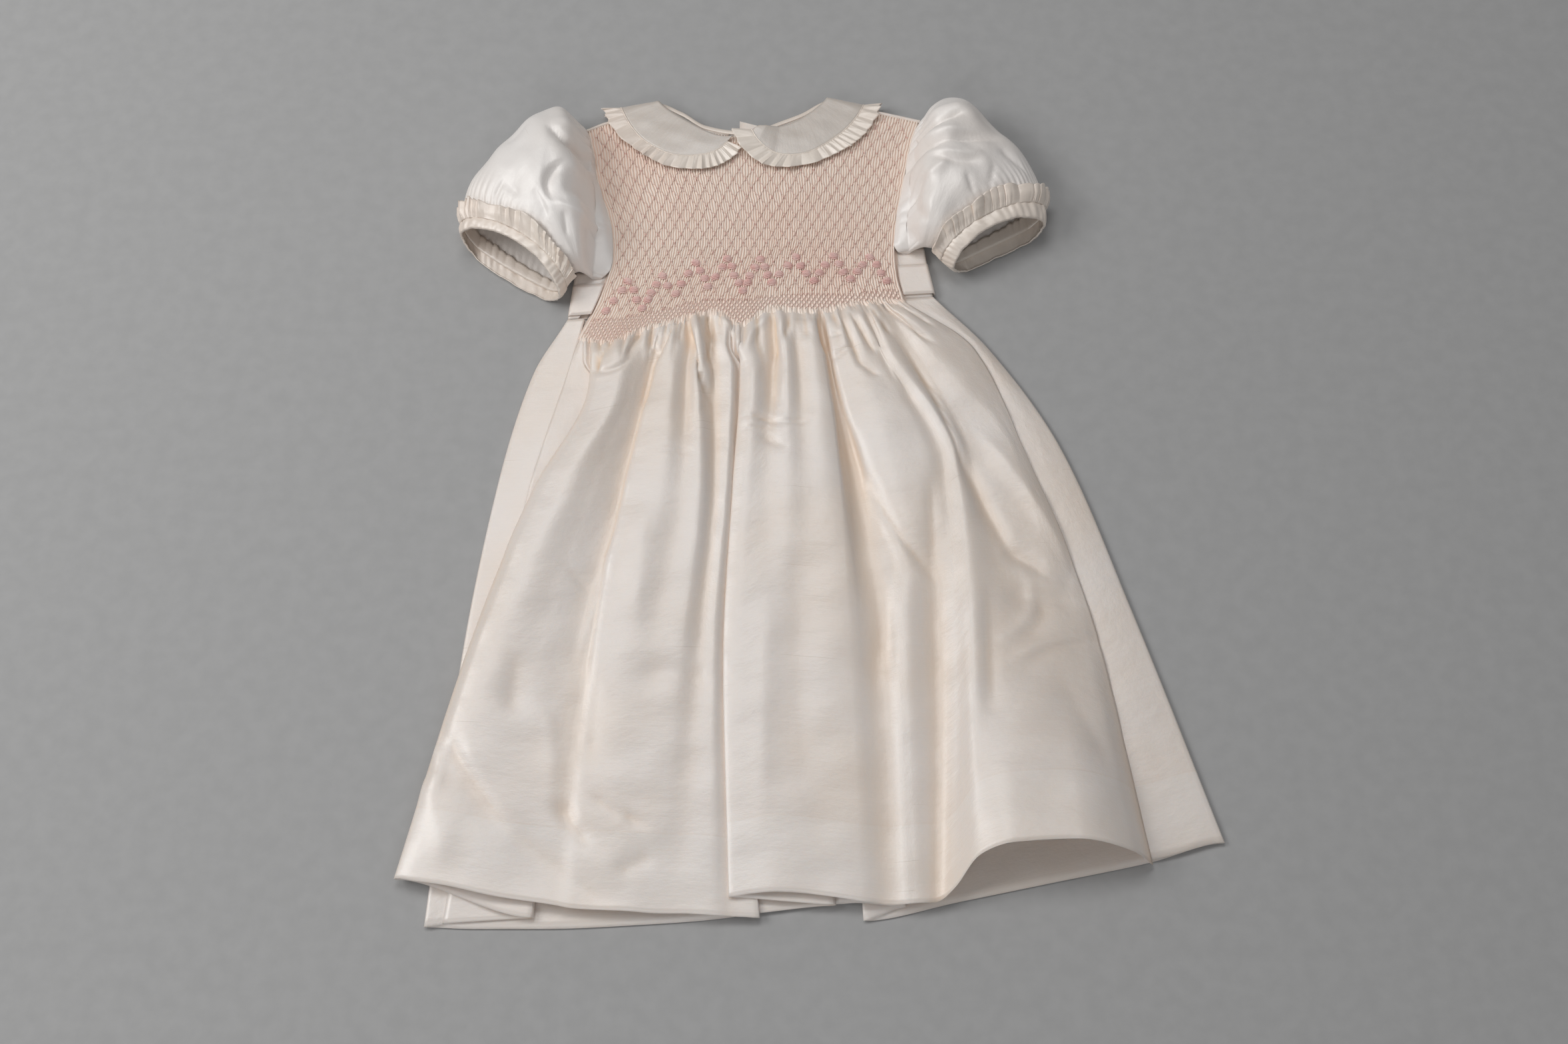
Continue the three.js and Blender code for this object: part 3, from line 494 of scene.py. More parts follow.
# ---- folds of the skirt: a line from the waist to the hem in each row ----
FOLD_HEAD = ("waist high upper lower hem zHigh zUpper zLower zHem hemY "
             "faces rises gapWaist gapHigh gapHem").split()
FRONT_FOLDS = [
    ("side_seam", -118, -129, -149, -166, -187, 3.9, 3.4, 3, 2.8, -396),
    ("under_pleat", -114, -101, -118, -122, -131, 4.2, 4.1, 4.0, 3.7, -393, 1, 1, 0, 2.2, 3.6),
    ("left_edge", -109, -110, -144, -181, -218, 8.2, 7.2, 6.4, 5.8, -369, -1, 1, 0, 2.6, 3),
    ("left_roll", -101, -104, -136, -174, -207, 13.5, 14, 13.5, 10, -371),
    ("left_crest", -88, -90, -122, -160, -188, 15, 17, 16, 12, -374),
    ("left_slope", -76, -79, -103, -134, -155, 11, 12, 12, 11, -381),
    ("left_valley", -62, -69, -84.5, -104, -118, 6.8, 7, 8, 9, -386),
    ("inner_edge", -59, -65.5, -81, -98, -108, 12, 12, 11.3, 9.8, -388),
    ("inner_crest", -50, -53, -58, -78, -92, 14.5, 14.5, 13, 9.8, -389),
    ("tuck_valley", -44, -43, -44, -60, -72, 10, 13, 12, 9, -390),
    ("tuck", -38, -36, -33, -44, -56, 15.5, 14.5, 11.5, 8, -391),
    ("centre_valley", -29, -26, -23, -32, -40, 8, 8.8, 9, 7.4, -391),
    ("centre_ridge", -17.5, -12.5, -15, -22, -20, 13, 11.8, 10.4, 7.4, -392),
    ("centre_foot", -15, -8.5, -10, -15, -9, 8.2, 7.8, 7, 6, -392.5),
    ("left_turn", -13, -3, -3, -6, 8, 6.4, 6.2, 5.8, 5, -393, 1, -1, 0, 1.6, 1.6),
    ("hidden_turn", -11, -7, -10, -14, -14, 3.6, 3.5, 3.2, 2.8, -391, -1, -1, 0, 1.6, 1.6),
    ("inner_turn", -9, 5, 12, 30, 55, 5.2, 5, 4.6, 4.2, -385, 1, 1, 0, 4.4, 4),
    ("centre_edge", -7, -7, -11, -16, -11, 10, 9.6, 9, 8.2, -381, -1, 1, 0, 1.8, 1.8),
    ("panel_left", -4, 2, -1, -5, 2, 15, 13.8, 12, 10.6, -379.5),
    ("panel_crease", 13, 15, 13, 11, 18, 9.8, 13, 12.2, 11.8, -378.5),
    ("panel_left_rise", 22, 23, 25, 26, 32, 15.5, 14.4, 12.4, 11.4, -379),
    ("panel_middle", 30, 33, 37, 39, 46, 12.5, 13.2, 12, 10.8, -380.5),
    ("panel_right_rise", 38, 43, 50, 54, 60, 15, 14, 11.6, 10.4, -382.5),
    ("panel_edge", 45, 51, 61.5, 69, 74, 13, 12.6, 10.6, 9.6, -384.5),
    ("edge_foot", 46.5, 53, 64, 77, 82, 7.1, 7.3, 7.8, 7.6, -385),
    ("right_valley", 49, 55.5, 71, 85, 89, 6.6, 6.8, 7.0, 7.0, -385.5),
    ("dart_edge", 51, 57, 75, 90, 94, 11, 10.6, 7.8, 7.8, -385.5),
    ("dart_left", 56, 63, 82, 96, 99, 12.8, 12.6, 11, 9.4, -385.5),
    ("dart_crest", 62, 73, 99, 102, 105, 14.5, 14, 12.2, 9.6, -385),
    ("dart_right", 70, 85, 119, 122, 117, 13.5, 13.2, 8, 7.6, -384),
    ("gusset_rise", 75, 90, 129, 133, 127, 11, 11.2, 13.5, 14, -377.5),
    ("gusset_crest", 79, 95, 138, 145, 143, 14.5, 14.6, 20, 30.5, -360),
    ("gusset_valley", 89, 111, 148, 165, 162, 10, 9.4, 16, 37.5, -354.5),
    ("right_crest", 96, 121, 176, 198, 203, 13.2, 8.8, 12, 37, -352),
    ("right_fall", 101, 143, 182, 214, 237, 9.6, 7.2, 8.5, 23, -356),
    ("right_seam", 106, 155, 186, 224.5, 252, 6, 5.4, 4.4, 3.2, -359.5),
]
BACK_FOLDS = [
    ("right_seam", 104, 149, 180.5, 219.5, 247, 4.6, 4.2, 3.4, 2.4, -357),
    ("strip", 112, 157, 193, 233, 265, 5.0, 4.4, 3.8, 3.0, -353),
    ("right_side", 127, 163, 210, 250, 298, 1.7, 1.7, 1.7, 1.7, -345, 1, -1, 2.1, 2.2, 2.2),
    ("floor_1", 100, 135, 185, 222, 250, 0.5, 0.5, 0.5, 0.5, -357.5),
    ("floor_2", 72, 100, 140, 172, 190, 0.5, 0.5, 0.5, 0.5, -370),
    ("floor_3", 52, 66, 95, 118, 132, 0.5, 0.5, 0.5, 0.5, -382),
    ("pleat_edge", 38, 34, 48, 62, 72, 1.3, 1.3, 1.3, 1.3, -394, -1, 1, 0, 1.6, 1.6),
    ("pleat_inside", 30, 46, 62, 80, 98, 4.5, 3.8, 3.2, 3, -386, 1, 1, 0, 1.7, 1.7),
    ("pleat_step", 22, 31, 43, 57, 67, 5.4, 4.7, 4, 3.9, -383.5),
    ("pleat_foot", 12, 21, 32, 46, 56, 0.5, 0.5, 0.5, 0.5, -383.5),
    ("floor_4", 2, 8, 12, 12, 10, 0.5, 0.5, 0.5, 0.5, -384),
    ("floor_5", -14, -16, -18, -16, -8, 0.5, 0.5, 0.5, 0.5, -391.5),
    ("floor_6", -44, -52, -62, -66, -66, 0.5, 0.5, 0.5, 0.5, -396.5),
    ("floor_7", -78, -94, -110, -120, -125, 0.5, 0.5, 0.5, 0.5, -399),
    ("floor_8", -104, -125, -142, -158, -168, 0.5, 0.5, 0.5, 0.5, -399),
    ("left_side", -127, -149, -169, -186, -198, 1.6, 1.6, 1.6, 1.6, -398, -1, 1, 2.1, 2.2, 2.2),
    ("side_seam", -115, -123, -145, -164, -186, 3.2, 2.8, 2.5, 2.3, -396.5),
]
DOWN = [0, 0.04, 0.1, 0.3, 0.6, 1]  # where the table's columns are, from the waist to the hem
DOWN_HELD = [0, 0.05, 0.1, 0.3, 0.6, 1]  # for the folds that stay gathered for longer
HELD_HALF = 32  # folds that start nearer the middle go straight down at first
LATE = (-20, 6)  # where the front's folds stay gathered for longer
ORDER_STEP = 0.6  # between a folded edge's three lines at the waist


def fold_lines(row, waist_line, waist_height, steps, v):
    """The lines of a fold at the places v down the skirt: one, or three round a folded edge.

    faces: which way a folded edge looks, rises: whether its first layer is the lower one,
    gap...: how far its layers lie apart. steps: 1 where the rows run to the right, -1 to the left.
    """
    values = row[1:]
    f = dict(zip(FOLD_HEAD, list(values) + [0] * (len(FOLD_HEAD) - len(values))))
    turned = f["faces"] != 0
    at_once = turned and f["gapWaist"] > 0
    held = (f["rises"] and not f["gapWaist"]) or abs(f["waist"]) < HELD_HALF
    late = DOWN_HELD if steps > 0 and LATE[0] < f["waist"] < LATE[1] else DOWN
    xs = [f["waist"]] * (2 if held else 1) + [f["high"], f["upper"], f["lower"], f["hem"]]
    x = curve(late if held else [0] + DOWN[2:], xs)(v)
    slid = 1.0 if at_once else smooth((v - late[1]) / (late[2] - late[1]))
    gap = lerp(f["gapWaist"], lerp(f["gapHigh"], f["gapHem"], v), clamp(v / DOWN[1])) / 2
    lines = []
    for part in ((-1, 0, 1) if turned else (0,)):
        start = f["waist"] + (0 if at_once else part * ORDER_STEP * steps)
        start_z = waist_height(start)
        near = lerp(start_z, f["zHigh"], 0.85 if late is DOWN else 0.4)
        z = curve(late, [start_z, near, f["zHigh"], f["zUpper"], f["zLower"], f["zHem"]], 1.4)(v)
        back = f["faces"] * gap * slid if part else 0
        spread = (start - f["waist"]) * (1 - slid)
        y = lerp(waist_line(start), f["hemY"], v)
        lines.append(points(x - back + spread, y, z + part * f["rises"] * gap))
    return lines


def resample(lines, columns):
    """A smooth surface across control lines, with about that many columns, and their places."""
    chord = np.maximum(np.linalg.norm(np.diff(lines, axis=1), axis=-1), 0.05)
    usual = np.maximum(chord.max(axis=0), 0.8)
    counts = np.maximum(2, np.round(usual / usual.sum() * columns).astype(int))
    slope = np.stack([slopes(np.diff(lines[..., k], axis=1) / chord) for k in range(3)], axis=-1)
    out, u, start = [], [], 0.0
    for i, count in enumerate(counts):
        t = np.arange(count + (i == len(counts) - 1)) / count
        h = chord[:, i, None, None]
        m0, m1 = slope[:, i, None, :] * h, slope[:, i + 1, None, :] * h
        ends = lines[:, i, None, :], lines[:, i + 1, None, :]
        out.append(hermite(*ends, m0, m1, t[None, :, None]))
        u.append(start + t * usual[i])
        start += usual[i]
    return np.concatenate(out, axis=1), np.concatenate(u)


def gathers(s, seed):
    """Uneven round folds with sharp creases between, at the place s counted in folds.

    Gives how high the fold stands there (0 to 1) and how far it leans along the edge (-1 to 1).
    """
    i = np.floor(s)
    u = s - i
    big = 0.66 + 0.34 * np.sin(2.4 * i + seed) * np.cos(1.3 * i + 2 * seed)
    return big * np.sin(np.pi * u) ** 0.75, big * np.sin(2 * np.pi * u)


def crease(grid, rows, closed=False):
    """Presses troughs (deep > 0) and ridges (deep < 0) into the upper side of a grid.

    A row is x0 y0 x1 y1 bow wide deep lean: a line in plan, how far its middle bows to the left of
    its way, its width and depth, and which flank is steep (lean < 0: the left one, none: 0).
    """
    away = grid_normals(grid, closed)
    faces_up = smooth((away[..., 2] - 0.1) / 0.3)
    x, y = grid[..., 0], grid[..., 1]
    total = np.zeros(x.shape)
    for row in rows:
        x0, y0, x1, y1, bow, wide, deep, lean = (*row, 0)[:8]
        dx, dy = x1 - x0, y1 - y0
        length = math.hypot(dx, dy)
        t = ((x - x0) * dx + (y - y0) * dy) / length ** 2
        off = ((x - x0) * dy - (y - y0) * dx) / length + bow * 4 * t * (1 - t)
        end = smooth((t + 0.2) / 0.45) * smooth((1.2 - t) / 0.45)
        d = np.abs(off) / (wide * np.where(off < 0, 1 + lean, 1 - lean))
        total -= deep * np.exp(-d ** 1.5) * end
    return grid + away * (total * faces_up)[..., None]


# ---- the front: smocked to the waist, then let go into the skirt ----
PLEATS = 125
PLEAT_DEPTH = 1.9
STITCH_TOP = 0.45  # how far over the middle surface the stitches lie, in pleat depths
PER_STITCH, ROW = 5, 7.56  # from one crossing of the lattice to the next: pleats, and height
PROFILE = np.array([0.0, 0.13, 0.36, 0.64, 0.87])  # where a pleat has its points
SHARE = np.concatenate([(np.arange(PLEATS)[:, None] + PROFILE[None, :]).ravel(), [PLEATS]]) / PLEATS
NECK_Y = 174.3  # where the lattice's rows are counted from
BAND = table("x y", [  # upper edge of the band of small stitches
    [-118, 24], [-100, 25], [-80, 27], [-60, 31], [-30, 38], [-8, 38], [14, 42], [60, 43],
    [106, 49],
])
PER_SMALL, BAND_ROW = 2, 2.3
DRAWN, DRAWN_SMALL = 0.14, 0.36  # how far the stitches draw a pleat aside, in pleat widths
LAST_ROW = 0.865  # how far down the panel the band begins
PANEL_LENGTH = 0.17  # along the cloth, in metres
band_y = curve_of(BAND, "x", "y")


def smocked_base(share, down):
    """The smocked panel's middle surface, from the top (0) to the waist (1)."""
    top_x = lerp(left_side(0.0), right_side(0.0), share)
    low_x = lerp(left_side(1.0), right_side(1.0), share)
    x = lerp(left_side(down), right_side(down), share)
    y = lerp(front_top(top_x), waist_y(low_x), down)
    return x, y, bodice_z(x, y)


def down_at(share, y):
    """How far down the smocked panel the height y is."""
    top = front_top(lerp(left_side(0.0), right_side(0.0), share))
    low = waist_y(lerp(left_side(1.0), right_side(1.0), share))
    return (top - y) / (top - low)


def pleat_round(share):
    """1 on a pleat's top, 0 in the valley beside it."""
    s = share * PLEATS
    return np.sqrt(np.maximum(0, 1 - np.abs(2 * (s - np.floor(s)) - 1) ** 2.6))


def smocked_point(share, down, lift=None):
    """A point on the pleats, or at a lift over their tops. The stitches draw them in by pairs."""
    share, down = np.broadcast_arrays(share, down)
    x, y, z = smocked_base(share, down)
    number = share * PLEATS
    width = (right_side(down) - left_side(down)) / PLEATS
    # a stitch draws in the pleats beside it, and half a step further on in the next row
    wide = np.sin(math.tau * number / PER_STITCH) * np.cos(math.pi * (NECK_Y - y) / ROW)
    small = np.sin(math.tau * number / PER_SMALL) * np.cos(math.pi * (NECK_Y - y) / BAND_ROW)
    banded = smooth((band_y(x) - y) / 1.5)
    lean = width * (DRAWN * wide * (1 - banded) + DRAWN_SMALL * small * banded)
    uneven = 0.40 * ripple(x, y, 31.0, 3) + 0.20 * ripple(x, y, 7.0, 5)
    uneven = uneven + 0.10 * ripple(x, 0.5 * y, 2.6, 8)
    inside = smooth(np.minimum(share, 1 - share) * PLEATS / 1.5)
    depth = PLEAT_DEPTH * (1 - 0.25 * banded)  # shallower where the small stitches close the pleats
    if lift is None:
        z = z + depth * (pleat_round(share) - 1 + STITCH_TOP)
    else:
        z = z + depth * STITCH_TOP + lift
    return points(x + (lean + uneven) * inside, y, z)


def make_smocked(skirt_top):
    """The smocked panel. skirt_top: the upper rows of the skirt, on which its pleats run out."""
    down = np.concatenate([np.linspace(0, LAST_ROW, 95), np.linspace(LAST_ROW, 1.0, 31)[1:]])
    grid = smocked_point(SHARE[None, :], down[:, None])
    round_ = pleat_round(SHARE)[None, :]
    # below the last stitches each pleat runs out on the skirt's gathers
    column = np.interp(grid[-1, :, 0], skirt_top[0, :, 0], np.arange(skirt_top.shape[1]))
    left = np.minimum(column.astype(int), skirt_top.shape[1] - 2)
    on_skirt = lerp(skirt_top[:, left], skirt_top[:, left + 1], (column - left)[None, :, None])
    fade = np.array([0.75, 0.4, 0.1, 0.0, -0.1, -0.2])[:, None]
    out = len(fade)
    pleat = PLEAT_DEPTH * 0.75 * (round_ - 0.35) * fade - 0.35 * (1 - fade)
    let_go = on_skirt[1:1 + out] + points(0, 0, pleat + 0.4 * fade)
    # the seam allowances turn down at the neck and shoulders, and under the sleeves at both sides
    grid = np.concatenate([grid[:1] + [0, 1.8, -3.6], grid, let_go])
    # painted shade: the pleats' valleys take the darker, pinker colour, less where they run out on
    # the skirt and in the band of small stitches
    valley = 1 - round_ * np.ones((len(grid), 1))
    valley[-out:] *= 0.3
    valley *= 1 - 0.6 * smooth((band_y(grid[..., 0]) - grid[..., 1]) / 2)
    valley = np.pad(valley, ((0, 0), (1, 1)))
    sides = grid[:, :1] + [-2.6, 0, -2.6], grid[:, -1:] + [2.6, 0, -2.6]
    grid = np.concatenate([sides[0], grid, sides[1]], axis=1)
    u = np.concatenate([[-0.003], SHARE * 0.48, [0.483]])
    v = 1 - np.concatenate([[-0.02], down, 1 + 0.009 * np.arange(1, 1 + out)])
    uv = np.stack(np.meshgrid(u, v * PANEL_LENGTH + SKIRT_LENGTH), axis=-1)
    return cloth("front_smocked", grid, SMOCKED_SILK, uv, thick=0, valley=valley)


def stitch_lines(numbers, ys, dips, lift):
    """Threads on the pleats: each row of numbers (pleats across) and ys is one line."""
    share = numbers / PLEATS
    line = smocked_point(share, down_at(share, ys), lift)
    line[..., 2] -= dips * (1 - pleat_round(share))
    return line


def inside_panel(numbers, ys, banded):
    """Which lines lie on the panel, in the band of small stitches or above it."""
    share = numbers / PLEATS
    down = down_at(share, ys)
    over = ys - band_y(smocked_point(share, down)[..., 0])
    good = (share > 0.004) & (share < 0.996) & (down > 0.0) & (down < 1.0)
    return (good & (over < 1.0 if banded else over > -1.0)).all(axis=-1)


def lattice(banded):
    """Diagonal threads, and the stitch at each crossing, of the wide lattice or the small band."""
    row, step, rows, along = (BAND_ROW, PER_SMALL, 90, 9) if banded else (ROW, PER_STITCH, 30, 17)
    dips, half, slope = (0.6, 0.62, 0.3) if banded else (0.95, 0.5, 0.0)
    r, k = np.meshgrid(np.arange(-4, rows), np.arange(-1, PLEATS // step + 2), indexing="ij")
    r, k = r.reshape(-1, 1), k.reshape(-1, 1)
    # an even row's stitches lie half a step to the side of an odd row's
    first = k * step + np.where(r % 2 == 0, step / 2, 0.0)
    top = NECK_Y - r * row
    lines = []
    t = np.linspace(0, 1, along)
    for way in (LEFT, RIGHT):
        n, y = first + way * t * step / 2, top - t * row
        keep = inside_panel(n, y, banded)
        lines.append(stitch_lines(n[keep], y[keep], dips, 0.16))
    t = np.linspace(-1, 1, 7)
    n, y = first + t * half, top + slope * t
    keep = inside_panel(n, y, banded)
    return np.concatenate(lines), stitch_lines(n[keep], y[keep], 0.3, 0.28)


ZIGZAG = table("x y", [  # turns of the zigzag of rosebuds
    [-100, 31], [-85, 54], [-75, 32], [-62, 57], [-52, 43], [-39, 67], [-29, 49], [-16, 71],
    [-6, 45], [6, 70], [15, 52], [31, 72], [43, 53], [57, 73], [69, 55], [83, 73], [95, 55],
])


def rosebuds():
    """Satin stitches along a zigzag, one at each turn and one or two between."""
    spacing, bud_half, bud_height, bulge = 7.0, 3.3, 2.1, 1.35
    turns = list(zip(ZIGZAG["x"], ZIGZAG["y"]))
    centres = turns[:1]
    for (x0, y0), (x1, y1) in zip(turns, turns[1:]):
        steps = max(2, round(abs(y1 - y0) / spacing))
        for k in range(1, steps + 1):
            off = 0.7 * math.sin(3.1 * x0 + 2 * k)
            centres.append((lerp(x0, x1, k / steps) + off, lerp(y0, y1, k / steps) + 0.6 * off))
    lines = []
    t = np.linspace(-1, 1, 9)
    for k, (x, y) in enumerate(centres):
        turn = 0.16 * math.sin(3.7 * k)
        for wrap in np.linspace(-1, 1, 5):
            half = bud_half * math.sqrt(1 - 0.5 * wrap * wrap)
            px = x + half * t - turn * wrap
            py = y + bud_height * wrap + turn * t * half + 0.25 * np.sin(t * 2 + k)
            up = bulge * np.sqrt(np.maximum(0, 1 - np.abs(t) ** 2.4)) * (1 - 0.3 * wrap * wrap)
            lines.append(points(px, py, bodice_z(px, py) + STITCH_TOP * PLEAT_DEPTH - 0.45 + up))
    return np.array(lines)


def skirt_rows(count):
    """Places down the skirt, closer together near the waist."""
    t = np.linspace(0, 1, count)
    return 0.35 * t * t + 0.65 * t


# small gathers at the waist, then the creases and dents further down
SKIRT_CREASES = [
    (-99, 2, -106, -18, -1, 2, 3.4, 0.4), (-104, -19, -82, -8, -4, 2, 1.5),
    (-76, 16, -84, -6, 0, 2.4, 2.6, 0.3), (-68, 14, -64, -4, -2, 1.6, 1.8),
    (-52, 20, -66, -11, 0, 2, 3.2, -0.3), (-66, -11, -72, -42, 0, 2.4, 1.6),
    (-60, 18, -72, -8, 0, 3, -1.6), (-47, 25, -48, 4, 0, 2.4, 2.4),
    (-43, 22, -30, -34, -1, 1.8, 3.8, -0.4), (-38, 22, -27, -30, 0, 2.6, -2.2),
    (-30, -32, -31, -52, 0, 2, 1.2), (-30, 28, -26, 6, 0, 1.8, 3.2), (-27, 6, -31, -14, 0, 2, 1.6),
    (-24, 28, -6, -4, 3, 2.4, -2), (-4, -4, 13, 27, 3, 2.6, -1.8), (14, 29, 17, -8, 0, 1.7, 4, 0.3),
    (18, -6, 15, -45, 0, 4, 1.2), (28, 31, 24, 8, 0, 1.6, 2.8), (26, 10, 27, -46, 0, 4.5, -1.3),
    (31, 27, 45, 27, 0, 1.1, 1.2), (30, 23, 44, 22, 1, 1.1, 0.9), (36, 32, 38, 8, 0, 1.8, 2.2),
    (46, 28, 51, 0, 0, 2.2, 3.4, 0.3), (54, 32, 62, 14, 0, 1.5, 2),
    (61, 28, 74, -11, 0, 2, 3.2, 0.2), (74, -11, 86, -22, 0, 1.8, 1.6),
    (56, -9, 72, 4, 0, 1.5, 1.2), (53, 9, 64, 10, 1, 1.2, 0.8), (67, 30, 84, -2, 0, 1.7, 2.4),
    (72, 31, 90, -2, -1, 2.8, -2.4), (90, -2, 104, -34, 0, 3.2, -1.6),
    (81, 35, 96, 10, 0, 1.7, 2.6), (90, 38, 122, 6, -1.5, 2, 2.8), (100, 38, 124, 20, 0, 1.8, 2.4),
    (104, 4, 143, -87, 3, 2.2, 2.4, -0.4), (140, -80, 172, -152, 0, 5, 2.6, -0.3),
    (171, -151, 196, -168, 0, 5, 2.2), (196, -168, 212, -171, 0, 4, 1.4),
    (160, -70, 206, -150, 3, 8, -2.6, 0.3), (168, -182, 214, -186, 0, 11, 2.6),
    (184, -174, 163, -214, 9, 4.5, -1.3), (190, -186, 176, -214, 5, 7, 1.2),
    (174, -226, 222, -208, 3, 3, -1.5), (178, -232, 224, -214, 3, 4, 1),
    (66, -62, 94, -160, -2, 9, 4.2), (94, -160, 84, -240, 0, 10, 2.6),
    (76, -94, 119, -168, -3, 4, 2, 0.4), (121, -100, 121, -166, 0, 3, 1.2),
    (0, -52, 18, -57, 0, 1.8, 1.5), (20, -58, 38, -56, 0, 1.6, 1.4), (8, -67, 24, -76, 0, 3, 1.2),
    (-2, -62, 15, -61, 0, 1.4, 1), (-63, -77, -38, -80, 0, 1.8, 0.6),
    (-4, -132, 22, -133, 0, 1.5, 0.4), (-120, -162, -105, -176, 0, 2, 0.6),
    (-88, -140, -107, -217, -1, 3, -1.8, 0.4), (-197, -282, -195, -312, 0, 4.5, -2),
    (-190, -280, -152, -334, -2, 12, 4, -0.5), (-150, -338, -84, -386, 0, 12, 2.7, -0.3),
    (-206, -302, -186, -356, 3, 9, -1.8), (-128, -262, -124, -322, 2, 9, -1.4),
    (-118, -322, -100, -348, 0, 6, 2.6), (-98, -318, -64, -336, 0, 3, 1.6),
    (-90, -321, -76, -333, 2, 2.4, -1), (-80, -365, -60, -356, 0, 5, 1.4),
    (-148, -226, -150, -264, 0, 9, 1.8), (-99, -236, -100, -296, 0, 9, 1.8),
    (-66, -236, -26, -242, 4, 8, 1.4), (-150, -80, -160, -150, 0, 8, -1.2),
    (-70, -120, -74, -200, 0, 8, -1.4), (30, -150, 34, -300, 0, 16, 1.6),
    (12, -190, 8, -330, 0, 9, -1.2), (156, -180, 154, -260, 0, 5, 1.6),
    (200, -240, 228, -300, 0, 12, 1.6),
]


def make_front_skirt():
    """The skirt's front, and its upper rows."""
    rows_down, columns = 168, 250
    v = skirt_rows(rows_down)
    lines = []
    for row in FRONT_FOLDS:
        lines += fold_lines(row, waist_y, lambda x: bodice_z(x, waist_y(x)), 1, v)
    grid, u = resample(np.stack(lines, axis=1), columns)
    # the pleats of the smocking, let go by twos and fours
    number = (grid[:1, :, 0] - left_side(1.0)) / (right_side(1.0) - left_side(1.0)) * PLEATS
    away = grid_normals(grid)
    below = v[:, None]
    pairs = np.abs(np.sin(math.pi * number / 2 + 0.7 * np.sin(number / 5.1))) - 0.6
    fours = np.abs(np.sin(math.pi * number / 4.6 + 0.9 * np.sin(number / 7.7))) - 0.6
    reach = 0.09 + 0.045 * np.sin(number / 5.3 + 1) + 0.02 * np.sin(number / 2.1)
    lift = 1.5 * pairs * smooth(1 - below / 0.035) + 2.6 * fours * smooth(1 - below / reach)
    up = smooth(away[..., 2] / 0.5)
    grid = grid + away * (lift * up)[..., None]
    grid = crease(grid, SKIRT_CREASES)
    grid[..., 2] += 0.35 * ripple(grid[..., 0], grid[..., 1], 61.0, 4) * up * smooth(below / 0.1)
    # it comes out from under the smocking's lower edge and swells at once
    swell = np.sin(np.pi * clamp(below / 0.085) ** 0.6) * smooth(below / 0.03)
    grid[..., 2] += 0.9 * swell * up - 0.9 * (1 - smooth(below / 0.01))
    grid = rest_on(grid, 2.0)
    uv = np.stack(np.meshgrid(u / u[-1] * FRONT_WIDTH, (1 - v) * SKIRT_LENGTH), axis=-1)
    # painted shade: the valley attribute marks where the skirt's material paints its folds warmer
    # and darker
    return cloth("front_skirt", grid, SKIRT_SILK, uv, valley=valleys(grid, u)), grid[:9]


BACK_CREASES = [
    (-118, 30, -134, -2, 2, 2.4, 1.3), (-112, 28, -134, -40, 2, 2.6, 1.2),
    (-124, 27, -147, -18, 3, 3.6, -1.3), (-108, 12, -130, -30, -2, 1.6, 0.8),
    (-150, -60, -164, -130, 0, 6, 0.8), (-140, -90, -150, -160, 0, 4, -0.7),
    (112, 40, 140, 2, -2, 2.6, 1.2), (118, 38, 150, -14, -2, 3.4, -1), (105, 30, 128, 8, 0, 1.8, 1),
    (176, -60, 192, -100, 0, 4, 0.9), (210, -120, 232, -190, 0, 5, 0.8),
    (240, -250, 262, -330, 0, 6, 0.8),
]


def make_back_skirt():
    """The back of the skirt: on the surface, and wrapped round both sides to the front's seams."""
    rows_down, columns = 110, 190
    v = skirt_rows(rows_down)
    turned_up = {"right_seam": 1, "strip": 1, "right_side": 0.5, "left_side": 0.5, "side_seam": 1}
    lines = []
    for row in BACK_FOLDS:
        height = BACK_Z + TURN_UP * turned_up.get(row[0], 0)
        lines += fold_lines(row, lambda x: back_waist(x) - SEAM, lambda x: height, -1, v)
    grid, u = resample(np.stack(lines[::-1], axis=1), columns)
    grid = rest_on(crease(grid, BACK_CREASES), 0.3, 0.3)
    uv = np.stack(np.meshgrid(u / u[-1] * BACK_WIDTH, (1 - v) * SKIRT_LENGTH), axis=-1)
    # painted shade: the right side, a single layer down to its doubled hem, is painted greyer,
    # partly for the dark surface showing through and partly for shade
    single_layer_shade = smooth((grid[..., 0] - 95) / 20) * smooth((grid[..., 1] + 322) / 14)
    return cloth("back_skirt", grid, BACK_SILK, uv, valley=single_layer_shade)


# ---- back bodice ----
BACK_ARM = table("y leftX rightX", [
    [57, -108, 106], [70, -106.5, 106], [80, -103.5, 105.5], [95, -102.5, 105.3],
    [110, -104, 106.5], [140, -109, 111.5], [180, -117.5, 121],
])
BACK_INSIDE = {LEFT: [9, -10, -15, -30, -46, -64], RIGHT: [-9, 12, 17, 29, 41, 53]}
PLACKET_HALF = 9
LAP_X = 17  # where the right half steps up on to the left one
SIDE_X, FOLD_ROUND = 126.5, 2  # of the fold at the side


